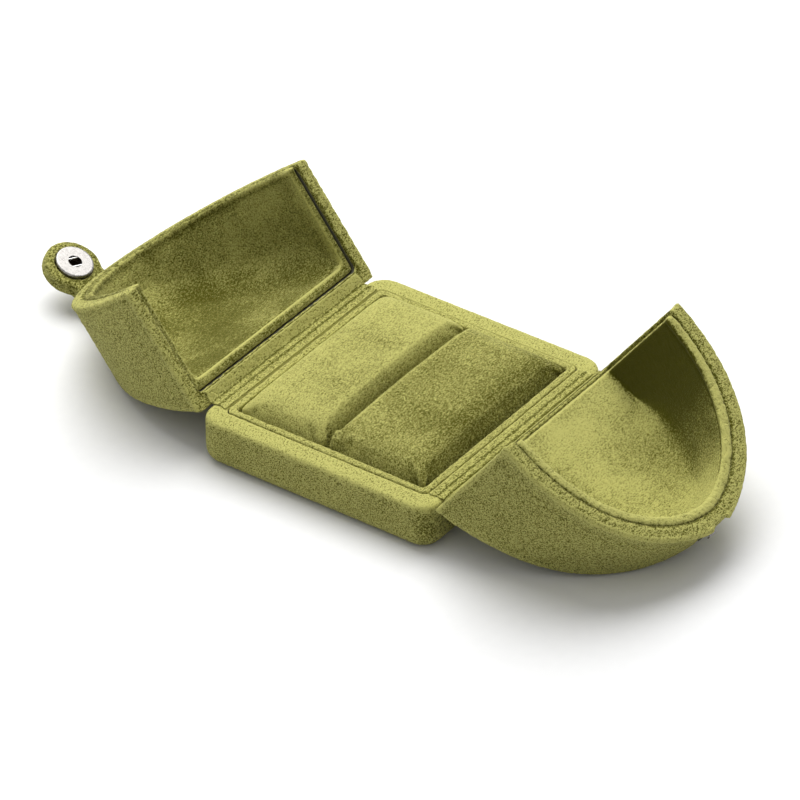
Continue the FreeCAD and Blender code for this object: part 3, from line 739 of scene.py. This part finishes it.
class RINGBOX_OT_covers(bpy.types.Operator):
    """Dresses both covers: velvet outside over the moulded shell, its groin rounded by the pull"""

    bl_idname = "ringbox.covers"
    bl_label = "Covers"

    def execute(self, context):
        for side, sign in SIDES.items():
            node = f"{side}_cover_velvet"
            mesh = formed_cover(node, side, setting("velvet").net * MM)
            seed = sign * 11.0
            swollen_rims(mesh, side, seed, *([self.hem] if side == "right" else []))
            points = points_of(mesh)
            finish_pile(mesh, self.ruffle(points, side), clouds_and_seam_shade(points, seed), seed)
            shown_cover(f"{side}_cover_covering", mesh, side, velvet("outside"), node)
            node = f"{side}_cover_shell"
            mesh = formed_cover(node, side, HIDDEN_NET)
            shown_cover(f"{side}_cover_mould", mesh, side, moulded_board(), node)
        return {"FINISHED"}

    def ruffle(self, points, side):
        """Where the pile is disturbed: behind the rims, and on the left rim towards the front."""
        parting, lower = from_rims(points)
        nearest = np.minimum(parting, lower)
        behind = parting if side == "right" else nearest
        front = FRONT_RUFFLE_SHARE * (side == "left") * rising(*FRONT_RUFFLE, points[:, 1])
        at_rim = (RIM_RUFFLE_SHARE + front) * band(nearest, *RIM_RUFFLE)
        return band(behind, setting("covers").ruffle_inset * MM, RUFFLE_HALF) + at_rim

    def hem(self, points, normals, parting, lower):
        """The folded hem along the parting: fullest around the stud, pressed flat by the snap."""
        sideways = normals[:, 1] * np.sign(points[:, 1])
        outward = np.clip(rising(*UP_TILT, normals[:, 2]) + rising(*SIDE_TILT, sideways), 0, 1)
        from_stud = np.hypot(np.abs(points[:, 0]) - STUD_PLACE, points[:, 1])
        high = points[:, 2] > STUD_LEVEL
        around = np.where(high, rising(*HEM_START, from_stud), 1.0)
        swell = 1 + high * HEM_SWELL_SHARE * rising(*HEM_SWELL, from_stud)
        height = setting("covers").hem * MM * swell * around * rising(*HEM_FADE, parting)
        return (height - high * PRESS_DEPTH * rising(*PRESSED, from_stud)) * outward


class RINGBOX_OT_liners(bpy.types.Operator):
    """Lines both covers: a greyboard liner in velvet, whose edge makes the inner band of the rim"""

    bl_idname = "ringbox.liners"
    bl_label = "Liners"

    def execute(self, context):
        for side, sign in SIDES.items():
            node = f"{side}_liner_velvet"
            mesh = formed_cover(node, side, setting("velvet").net * MM, bowl=True)
            seed = sign * 17.0
            swollen_rims(mesh, side, seed, lip_swell)
            points = points_of(mesh)
            ruffle = LINER_RUFFLE_SHARE * band(np.minimum(*from_rims(points)), *RIM_RUFFLE)
            tone_and_painted_light = clouds_and_seam_shade(points, seed) + lining_painted_light_and_nap(points, normals_of(mesh), side)
            finish_pile(mesh, ruffle, tone_and_painted_light, seed)
            shown_cover(f"{side}_lining", mesh, side, velvet("lining"), node)
            node = f"{side}_liner_board"
            mesh = formed_cover(node, side, HIDDEN_NET, bowl=True)
            shown_cover(f"{side}_lining_board", mesh, side, greyboard(), node)
        return {"FINISHED"}


# ---- base and collar ----

# The tray's softened edge, its ruffled front, the clouds in its nap, painted light along its top and
# painted shade at its right front corner.
TRAY_ENDS, TRAY_SIDES, TRAY_TOP = (4.0, 1.5), (3.0, 1.2), (3.5, 1.5)
TRAY_ROUNDS = 10
TRAY_FRONT = (1.5, 0.5)
TRAY_RUFFLE, TRAY_RUFFLE_START = (1.9, 1.3), (-6.0, 4.0)
TRAY_CLOUD_SPACING, TRAY_CLOUD_SHARE = 14.0, 0.2
TRAY_LIGHT, TRAY_TOP_PAINTED_LIGHT = (1.2, 0.4), 0.7
TRAY_CORNER, TRAY_CORNER_DEPTH, TRAY_CORNER_PAINTED_SHADE = (28.0, 34.0), (1.0, 3.0), -0.9

COLLAR_NET = 0.32
COLLAR_UPPER = (2.5, 1.0)
COLLAR_WAVE, COLLAR_WAVE_SPACING = 0.12, (7.0, 7.0, 30.0)
COLLAR_RUFFLE = 0.35


class RINGBOX_OT_base(bpy.types.Operator):
    """Dresses the tray in velvet and its collar in a folded velvet lip"""

    bl_idname = "ringbox.base"
    bl_label = "Base and collar"

    def execute(self, context):
        self.dress_tray()
        self.dress_collar()
        finish_node("base_shell", moulded_board())
        finish_node("base_bottom_sheet", flocked_sheet())
        finish_node("collar_frame", greyboard())
        finish_node("pad_board", greyboard())
        return {"FINISHED"}

    def dress_tray(self):
        mesh = netted(copied("base_velvet"), setting("velvet").net * MM)
        high = np.array(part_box("base_velvet")[1]) * MM
        points = relaxed(mesh, points_of(mesh), NET_ROUNDS)
        x, y, z = points.T
        outer = rising(*TRAY_ENDS, high[1] - np.abs(y)) + rising(*TRAY_SIDES, high[0] - np.abs(x))
        edge = np.clip(outer, 0, 1) * rising(*TRAY_TOP, high[2] - z)
        points = relaxed(mesh, points, TRAY_ROUNDS, 0.5 * edge)
        move_points(mesh, points)
        x, y, below = points[:, 0], points[:, 1], high[2] - points[:, 2]
        front = rising(*TRAY_FRONT, high[1] + y)
        ruffle = band(below, *TRAY_RUFFLE) * front * rising(*TRAY_RUFFLE_START, x)
        corner = rising(*TRAY_CORNER, x - y - high[0]) * (x > 0) * rising(*TRAY_CORNER_DEPTH, below)
        tone_and_painted_light = TRAY_CLOUD_SHARE * lumps(points, TRAY_CLOUD_SPACING, seed=5.0)
        # Painted light along the tray's top and painted shade at its right front corner.
        tone_and_painted_light += TRAY_TOP_PAINTED_LIGHT * rising(*TRAY_LIGHT, below) + TRAY_CORNER_PAINTED_SHADE * corner
        finish_pile(mesh, ruffle, tone_and_painted_light, seed=2.0)
        show("base_covering", mesh, "base", velvet("outside"), ["base_velvet"])

    def dress_collar(self):
        mesh = netted(copied("collar_velvet"), COLLAR_NET)
        points = relaxed(mesh, points_of(mesh), NET_ROUNDS)
        upper = rising(*COLLAR_UPPER, points[:, 2].max() - points[:, 2])
        wave = COLLAR_WAVE * lumps(points, COLLAR_WAVE_SPACING, seed=9.0) * upper
        outward = normals_of(mesh) * [1, 1, 0]
        move_points(mesh, points + outward * wave[:, None])
        finish_pile(mesh, COLLAR_RUFFLE * upper, 0.0, seed=4.0)
        show("collar_lip", mesh, "base", velvet("hinges"), ["collar_velvet"])


def finish_node(node, material):
    """Gives a CAD node that stays in sight its material."""
    mesh = frame["nodes"][node].data
    mesh.materials.clear()
    mesh.materials.append(material)


# ---- ring pads ----

# The block, and the simulation that swells it at many times its size.
PAD_CORNER = 1.4
CORNER_CUTS = 4
SIM_SCALE = 20.0
SIM_NET = 0.85
SIM_FRAMES = 20
SWELL_CAP = 1.1
COLLAR_TOP = 12.3
GLUE_DEPTH = 1.5

# The sculpted top, the fold at the right pad's front corner, and the pads' tone: the left pad
# lighter and the right darker, with painted shade where the left falls into the slot and on the
# right's side by the collar.
PAD_FOOT = 8.0
SLOT_SINK = {"left": 0.34, "right": 0.26}
FALL_POWER = 0.9
CREST_RISE, CREST_REACH = 0.5, 5.0
PAD_WAVE, PAD_WAVE_SPACING = 0.16, 11.0
FOLD_HEIGHT, FOLD_SPACING = 0.9, 1.1
FOLD_ACROSS, FOLD_ALONG, FOLD_START = (3.0, 1.2), (7.5, 3.0), (0.3, 1.6)
PAD_RUFFLE = 0.15
PAD_CLOUD_SPACING = 12.0
SLOT_SHADE, SIDE_SHADE = (2.6, 0.5), (10.0, 1.0)
PAD_TONE_AND_SHADE = {"left": dict(plain=0.26, shade=-0.4), "right": dict(plain=-0.4, shade=-0.5)}


class RINGBOX_OT_pads(bpy.types.Operator):
    """Makes the two ring pads: foam under velvet, swollen against its glued sides"""

    bl_idname = "ringbox.pads"
    bl_label = "Ring pads"

    def execute(self, context):
        for side in SIDES:
            mesh = self.swollen(self.blank(side))
            mesh = self.sculpted(with_modifier(mesh, "SUBSURF", levels=1, render_levels=1), side)
            pad = show(
                f"{side}_ring_pad", mesh, "base", velvet("pads"),
                [f"{side}_ring_pad_velvet", f"{side}_ring_foam"])
        return {"FINISHED"}

    def blank(self, side):
        """A block of the pad's size with its upright edges cut round, as an even net."""
        low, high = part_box(f"{side}_ring_pad_velvet")
        work = bmesh.new()
        bmesh.ops.create_cube(work, size=1.0)
        bmesh.ops.scale(work, vec=high - low, verts=work.verts)
        bmesh.ops.translate(work, vec=(low + high) / 2, verts=work.verts)
        upright = [
            edge for edge in work.edges if abs(edge.verts[0].co.z - edge.verts[1].co.z) > TINY]
        bmesh.ops.bevel(
            work, geom=upright, offset=PAD_CORNER / MM, offset_type="OFFSET", segments=CORNER_CUTS,
            profile=0.5, affect="EDGES", material=-1, clamp_overlap=True)
        return netted(as_mesh(work, f"{side}_pad"), SIM_NET)

    def swollen(self, mesh):
        """The block after its skin has swollen like cloth over foam, held where it is glued."""
        before = points_of(mesh)
        move_points(mesh, before * SIM_SCALE)
        holder = bpy.data.objects.new("swelling", mesh)
        bpy.context.scene.collection.objects.link(holder)
        glued = holder.vertex_groups.new(name="glued")
        glued.add(np.flatnonzero(before[:, 2] < COLLAR_TOP - GLUE_DEPTH).tolist(), 1.0, "REPLACE")
        cloth = holder.modifiers.new("cloth", "CLOTH")
        cloth.settings.quality = 4
        cloth.settings.mass = 0.3
        cloth.settings.use_pressure = True
        cloth.settings.uniform_pressure_force = 4.0
        cloth.settings.vertex_group_mass = "glued"
        cloth.settings.effector_weights.gravity = 0.0
        cloth.point_cache.frame_start = 1
        cloth.point_cache.frame_end = SIM_FRAMES
        scene = bpy.context.scene
        for step in range(1, SIM_FRAMES + 1):
            scene.frame_set(step)
        made = after_modifiers(holder)
        scene.frame_set(1)
        moved = points_of(made) / SIM_SCALE - before
        far = np.linalg.norm(moved, axis=1)
        cap = np.minimum(far, SWELL_CAP) / np.maximum(far, TINY)
        move_points(made, before + moved * cap[:, None])
        return made

    def sculpted(self, mesh, side):
        """The pad's top, falling to the collar, softly into the slot or sharply from its crest."""
        settings, sign = setting("pads"), SIDES[side]
        low, high = (np.array(corner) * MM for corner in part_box(f"{side}_ring_pad_velvet"))
        points = points_of(mesh)
        points[:, :2] = np.clip(points[:, :2], low[:2], high[:2])
        x, y, z = points.T
        from_slot, from_side = x - low[0], high[0] - x
        if side == "left":
            from_slot, from_side = from_side, from_slot
        from_front = y - low[1]
        from_end = np.minimum(from_front, high[1] - y)
        edge, fall = settings.edge_height * MM, settings.edge_fall * MM
        at_slot = (settings.crest_round if side == "right" else settings.soft_fall) * MM
        middle = np.sin(math.pi * np.clip(from_front / (high[1] - low[1]), 0, 1))
        rise = high[2] - edge + settings.crown * MM * middle
        rise = rise + (side == "right") * CREST_RISE * middle * np.exp(-from_slot / CREST_REACH)
        sunk = 1 - SLOT_SINK[side] * (1 - round_fall(from_slot, at_slot))
        top = edge + rise * round_fall(from_side, fall) * round_fall(from_end, fall) * sunk
        wave = PAD_WAVE * lumps(points * [1, 1, 0], PAD_WAVE_SPACING, seed=sign * 3.0)
        top += wave * round_fall(from_end, fall)
        fold = (side == "right") * rising(*FOLD_ACROSS, from_slot) * rising(*FOLD_ALONG, from_front)
        puckers = 1 + lumps(points, FOLD_SPACING, seed=2.0)
        top += FOLD_HEIGHT * fold * puckers * rising(*FOLD_START, from_front)
        share = np.maximum(z - PAD_FOOT, 0) / (high[2] - PAD_FOOT)
        points[:, 2] = np.where(z > PAD_FOOT, PAD_FOOT + share * (top - PAD_FOOT), z)
        move_points(mesh, points)
        # Painted shade where the left pad falls into the slot and on the right pad's collar side.
        shaded = rising(*SLOT_SHADE, from_slot)
        if side == "right":
            shaded = rising(*SIDE_SHADE, from_side)
        tone_and_painted_light = CLOUD_SHARE * lumps(points, PAD_CLOUD_SPACING, seed=8.0 + sign)
        tone_and_painted_light += PAD_TONE_AND_SHADE[side]["plain"] + PAD_TONE_AND_SHADE[side]["shade"] * shaded
        return finish_pile(mesh, PAD_RUFFLE + (1 - PAD_RUFFLE) * fold, tone_and_painted_light, seed=sign * 5.0)


def round_fall(distance, width):
    """1 from the width inwards, falling to 0 at the edge like cloth drawn over foam."""
    return np.sin(math.pi / 2 * np.clip(distance / width, 0, 1)) ** FALL_POWER


# ---- cloth hinges ----

# A cloth's net, its fold onto the rim, its uneven ends, and its creases and ribs.
FLAP_END = 3.1
CLOTH_ACROSS = 26
CLOTH_ALONG = 190
FOLD_FADE = (-0.5, 0.6)
UNEVEN_END, UNEVEN, UNEVEN_SPACING = (0.06, 0.0), 0.5, 1.6
STRIP_CREASE, STRIP_CREASE_DEPTH = (1.5, 0.35), 0.12
FLAP_CREASE, FLAP_CREASE_DEPTH = (0.9, 0.3), 0.1
RIBBED, RIB_HEIGHT = (3.0, 1.8), 0.05
CLOTH_LIFT = 0.02
CLOTH_RUFFLE = 0.3

# Painted light on the left flap, painted shade in its creases, and how the creases wander.
FLAP_LIGHT, FLAP_PAINTED_LIGHT = (-0.2, 0.4), 0.75
DARK_CREASES, CREASE_PAINTED_SHADE = ((-1.9, 0.45), (-0.1, 0.5)), -1.8
CREASE_WANDER, CREASE_SPACING = 0.15, 1.1


class RINGBOX_OT_hinges(bpy.types.Operator):
    """Lays the hinge cloths from the tray's border over the fold to the covers' rims"""

    bl_idname = "ringbox.hinges"
    bl_label = "Cloth hinges"

    def execute(self, context):
        for side in SIDES:
            self.lay(side)
        return {"FINISHED"}

    def lay(self, side):
        settings, sign = setting("hinges"), SIDES[side]
        low, high = (np.array(corner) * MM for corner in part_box(f"{side}_hinge_strip"))
        hinge = hinge_of(side)
        pin = np.array(hinge["pos_m"]) * MM
        opened = math.radians(hinge["range_deg"][1])
        near = abs(low[0]) if side == "right" else abs(high[0])
        flat = abs(pin[0]) - near
        work = bmesh.new()
        bmesh.ops.create_grid(work, x_segments=CLOTH_ACROSS, y_segments=CLOTH_ALONG, size=0.5)
        mesh = as_mesh(work, f"{side}_cloth")
        across, along, _ = (points_of(mesh) / MM + 0.5).T
        run = across * (flat + FLAP_END)
        past = run - flat
        on_rim = rising(*FOLD_FADE, past)
        rim_x = abs(pin[0]) + RIM_LIFT * math.sin(opened) - math.cos(opened) * past
        rim_z = PIN_HEIGHT + RIM_LIFT * math.cos(opened) + math.sin(opened) * past
        x = near + run + (rim_x - near - run) * on_rim
        z = PIN_HEIGHT + (rim_z - PIN_HEIGHT) * on_rim
        y = low[1] + (high[1] - low[1]) * along
        ends = rising(*UNEVEN_END, np.minimum(along, 1 - along))
        y += ends * UNEVEN * lumps(np.stack([run, y, z], axis=1), UNEVEN_SPACING, seed=4.0 + sign)
        move_points(mesh, np.stack([sign * x, y, z], axis=1))
        if side == "left":
            flip_faces(mesh)
        points, normals = points_of(mesh), normals_of(mesh)
        creases = (
            STRIP_CREASE_DEPTH * band(run, *STRIP_CREASE)
            + FLAP_CREASE_DEPTH * band(past, *FLAP_CREASE))
        waves = np.sin(2 * math.pi * y / (settings.rib * MM))
        ribs = (side == "right") * waves * band(run, *RIBBED)
        lift = CLOTH_LIFT + np.maximum(RIB_HEIGHT * ribs - creases, -CLOTH_LIFT)
        move_points(mesh, points + normals * lift[:, None])
        mesh = with_modifier(
            mesh, "SOLIDIFY", thickness=settings.cloth, offset=1.0, use_even_offset=True)
        for polygon in mesh.polygons:
            polygon.use_smooth = True
        finish_pile(mesh, CLOTH_RUFFLE, self.tone_and_painted_light(mesh, pin, side), seed=6.0 + sign)
        cloth = show(
            f"{side}_hinge_cloth", mesh, None, velvet("hinges"),
            [f"{side}_hinge_strip", f"{side}_hinge_flap"])
        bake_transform(cloth)

    def tone_and_painted_light(self, mesh, pin, side):
        """Painted light on the left flap, and painted shade in lengthwise creases."""
        points = points_of(mesh)
        past = np.abs(points[:, 0]) - abs(pin[0])
        flap = (side == "left") * rising(*FLAP_LIGHT, past)
        ragged = past + CREASE_WANDER * lumps(points, CREASE_SPACING, seed=3.0)
        return FLAP_PAINTED_LIGHT * flap + CREASE_PAINTED_SHADE * sum(band(ragged, *crease) for crease in DARK_CREASES)


def flip_faces(mesh):
    work = bmesh.new()
    work.from_mesh(mesh)
    bmesh.ops.reverse_faces(work, faces=work.faces)
    work.to_mesh(mesh)
    work.free()


# ---- tab and snap ----

TAB_NET = 0.26
TAB_ROUNDS = 5
# How much darker the tab's velvet is made all over.
TAB_TONE = -0.6
STRAP_NECK = (3.4, 8.6, 1.3)
STRAP_ROUNDS = 6


class RINGBOX_OT_tab(bpy.types.Operator):
    """Dresses the tab in two velvets with a seam between, and carries it over the fold"""

    bl_idname = "ringbox.tab"
    bl_label = "Tab"

    def execute(self, context):
        for node, name in (("tab_velvet_lower", "tab_front"), ("tab_velvet_upper", "tab_back")):
            mesh = netted(copied(node), TAB_NET)
            move_points(mesh, relaxed(mesh, points_of(mesh), TAB_ROUNDS))
            finish_pile(mesh, CLOTH_RUFFLE, TAB_TONE, seed=3.0)
            show(name, mesh, "tab", velvet("outside"), [node])
        self.dress_strap()
        finish_node("tab_core", greyboard())
        return {"FINISHED"}

    def dress_strap(self):
        """The glued strap and a neck of cloth at the fold, as one piece."""
        fold = next(joint for joint in frame["joints"] if joint["child"] == "tab")
        pin = Vector(fold["pos_m"])
        low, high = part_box("tab_velvet_lower")
        towards_tab = (low + high) / 2 - pin
        towards_tab.y = 0
        towards_tab.normalize()
        work = bmesh.new()
        bmesh.ops.create_cube(work, size=1.0)
        bmesh.ops.scale(work, vec=Vector(STRAP_NECK) / MM, verts=work.verts)
        turn = Vector((1, 0, 0)).rotation_difference(towards_tab).to_matrix()
        bmesh.ops.rotate(work, verts=work.verts, matrix=turn, cent=(0, 0, 0))
        bmesh.ops.translate(work, vec=pin, verts=work.verts)
        work.from_mesh(copied("tab_anchor_strap"))
        mesh = netted(as_mesh(work, "tab_strap"), TAB_NET)
        move_points(mesh, relaxed(mesh, points_of(mesh), STRAP_ROUNDS))
        finish_pile(mesh, CLOTH_RUFFLE, 0.0, seed=8.0)
        strap = show("tab_strap", mesh, None, velvet("outside"), ["tab_anchor_strap"])
        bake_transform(strap)


class RINGBOX_OT_snap(bpy.types.Operator):
    """Finishes the snap: nickel on its stamped pieces and bright steel on its spring wires"""

    bl_idname = "ringbox.snap"
    bl_label = "Snap"

    def execute(self, context):
        for node in ("snap_socket", "snap_stud"):
            finish_node(node, bright_nickel())
        for node in ("snap_cap", "snap_stud_backing"):
            finish_node(node, dull_brass())
        finish_node("snap_spring_wires", spring_steel())
        return {"FINISHED"}


# ---- stage ----

CAMERA_TARGET = (0.17579, -1.41443, 10.0)
CAMERA_AZIMUTH = 36.05521
CAMERA_HEIGHT = 35.29890
CAMERA_ROLL = -0.62689
CAMERA_DISTANCE = 1470.2067
FOCAL_PIXELS = 6529.205
PICTURE_WIDTH = 800
SENSOR = 36.0
CLIP_START = 0.01

# In metres: half the floor, how far its shadows reach, and the soft box's size and place.
FLOOR_HALF = 6.0
SHADOW_REACH = 0.13
KEY_SIZE = 1.15
KEY_PLACE = (-0.38, 0.34, 0.84)

# Paper's fibre in millimetres, the least glow of the floor, and the sky's strength at the horizon
# as a share of that from straight above, which it has from ZENITH upwards.
PAPER_FIBRE = 3.0
FLOOR_LIFT = 0.01
HORIZON = 0.15
ZENITH = 0.8


class RINGBOX_OT_stage(bpy.types.Operator):
    """Sets the pale floor, the soft box, the light of a white room and the camera"""

    bl_idname = "ringbox.stage"
    bl_label = "Stage"

    def execute(self, context):
        self.lay_floor()
        self.hang_light()
        self.set_world()
        self.set_camera()
        context.scene.view_settings.view_transform = "Standard"
        return {"FINISHED"}

    def lay_floor(self):
        work = bmesh.new()
        bmesh.ops.create_grid(work, x_segments=1, y_segments=1, size=FLOOR_HALF)
        floor = bpy.data.objects.new("floor", as_mesh(work, "floor"))
        bpy.context.scene.collection.objects.link(floor)
        floor.data.materials.append(self.floor_material())

    def floor_material(self):
        """Matt paper sweep: it keeps the box's shadow and pales to pure white away from it."""
        material, tree = new_material("matt_paper_sweep")
        seen = self.seen_directly(tree)
        fibre = add(tree, "ShaderNodeTexNoise", {
            "Vector": millimetres(tree), "Scale": 1 / PAPER_FIBRE}).outputs["Fac"]
        tint = add(tree, "ShaderNodeMix", {
            "Factor": fibre, "A": [*setting("stage").floor, 1.0], "B": linear("E8E8E8"),
        }, data_type="RGBA")
        paper = add(tree, "ShaderNodeBsdfDiffuse", {"Color": tint.outputs["Result"]})
        place = add(tree, "ShaderNodeTexCoord").outputs["Object"]
        away = add(tree, "ShaderNodeVectorMath", {0: place}, operation="LENGTH").outputs["Value"]
        whitening = add(tree, "ShaderNodeMapRange", {
            "Value": away, "From Min": SHADOW_REACH, "From Max": 3 * SHADOW_REACH,
            "To Min": FLOOR_LIFT, "To Max": 1.0})
        lift = add(tree, "ShaderNodeMath", {
            0: seen, 1: whitening.outputs["Result"]}, operation="MULTIPLY")
        glow = add(tree, "ShaderNodeEmission", {"Color": (1, 1, 1, 1), "Strength": lift.outputs[0]})
        both = add(tree, "ShaderNodeAddShader", {0: paper.outputs[0], 1: glow.outputs[0]})
        add(tree, "ShaderNodeOutputMaterial", {"Surface": both.outputs[0]})
        return material

    def seen_directly(self, tree):
        """1 for camera, mirror and glass rays, and 0 for light on the object."""
        ray = add(tree, "ShaderNodeLightPath")
        either = add(tree, "ShaderNodeMath", {
            0: ray.outputs["Is Camera Ray"], 1: ray.outputs["Is Glossy Ray"]}, operation="MAXIMUM")
        through = ray.outputs["Is Transmission Ray"]
        return add(tree, "ShaderNodeMath", {
            0: either.outputs[0], 1: through}, operation="MAXIMUM").outputs[0]

    def hang_light(self):
        lamp = bpy.data.lights.new("soft_box", "AREA")
        lamp.shape = "DISK"
        lamp.size = KEY_SIZE
        lamp.energy = setting("stage").key_power
        box = bpy.data.objects.new("soft_box", lamp)
        bpy.context.scene.collection.objects.link(box)
        place = Vector(KEY_PLACE)
        box.location = place
        box.rotation_euler = place.to_track_quat("Z", "Y").to_euler()

    def set_world(self):
        world = bpy.data.worlds.new("white_room")
        world.use_nodes = True
        tree = world.node_tree
        tree.nodes.clear()
        seen = self.seen_directly(tree)
        direction = add(tree, "ShaderNodeTexCoord").outputs["Generated"]
        level = add(tree, "ShaderNodeSeparateXYZ", {"Vector": direction}).outputs["Z"]
        full = setting("stage").fill
        soft = add(tree, "ShaderNodeMapRange", {
            "Value": level, "From Min": 0.0, "From Max": ZENITH, "To Min": HORIZON * full,
            "To Max": full})
        strength = add(tree, "ShaderNodeMapRange", {
            "Value": seen, "To Min": soft.outputs["Result"], "To Max": 1.0})
        room = add(tree, "ShaderNodeBackground", {
            "Color": (1, 1, 1, 1), "Strength": strength.outputs["Result"]})
        add(tree, "ShaderNodeOutputWorld", {"Surface": room.outputs[0]})
        bpy.context.scene.world = world

    def set_camera(self):
        data = bpy.data.cameras.new("camera")
        data.sensor_width = SENSOR
        data.lens = FOCAL_PIXELS * SENSOR / PICTURE_WIDTH
        data.clip_start = CLIP_START
        azimuth, height = math.radians(CAMERA_AZIMUTH), math.radians(CAMERA_HEIGHT)
        level = math.cos(height)
        back = Vector((math.sin(azimuth) * level, -math.cos(azimuth) * level, math.sin(height)))
        right = (-back).cross(Vector((0, 0, 1))).normalized()
        axes = Matrix((right, back.cross(right), back)).transposed()
        rolled = axes @ Matrix.Rotation(math.radians(CAMERA_ROLL), 3, "Z")
        camera = bpy.data.objects.new("camera", data)
        place = Matrix.Translation((Vector(CAMERA_TARGET) + back * CAMERA_DISTANCE) / MM)
        camera.matrix_world = place @ rolled.to_4x4()
        bpy.context.scene.collection.objects.link(camera)
        bpy.context.scene.camera = camera


class RINGBOX_PT_panel(bpy.types.Panel):
    """Lists the settings and the steps that dress the ring box"""

    bl_idname = "RINGBOX_PT_panel"
    bl_label = "Ring Box"
    bl_space_type = "VIEW_3D"
    bl_region_type = "UI"
    bl_category = "Ring Box"

    def draw(self, context):
        for group in SETTINGS:
            box = self.layout.box()
            settings = setting(group)
            for name in settings.bl_rna.properties.keys():
                if name not in ("rna_type", "name"):
                    box.prop(settings, name)
        for operator in OPERATORS:
            self.layout.operator(operator.bl_idname)


OPERATORS = (
    RINGBOX_OT_base,
    RINGBOX_OT_covers,
    RINGBOX_OT_liners,
    RINGBOX_OT_pads,
    RINGBOX_OT_hinges,
    RINGBOX_OT_tab,
    RINGBOX_OT_snap,
    RINGBOX_OT_stage,
)
CLASSES = (*SETTINGS.values(), *OPERATORS, RINGBOX_PT_panel)


def register():
    for item in CLASSES:
        bpy.utils.register_class(item)
    for group, kind in SETTINGS.items():
        setattr(bpy.types.Scene, f"ringbox_{group}", PointerProperty(type=kind))


def unregister():
    for group in SETTINGS:
        delattr(bpy.types.Scene, f"ringbox_{group}")
    for item in reversed(CLASSES):
        bpy.utils.unregister_class(item)


def main():
    register()
    bpy.ops.ringbox.base()
    bpy.ops.ringbox.covers()
    bpy.ops.ringbox.liners()
    bpy.ops.ringbox.pads()
    bpy.ops.ringbox.hinges()
    bpy.ops.ringbox.tab()
    bpy.ops.ringbox.snap()
    bpy.ops.ringbox.stage()


if __name__ == "__main__":
    main()
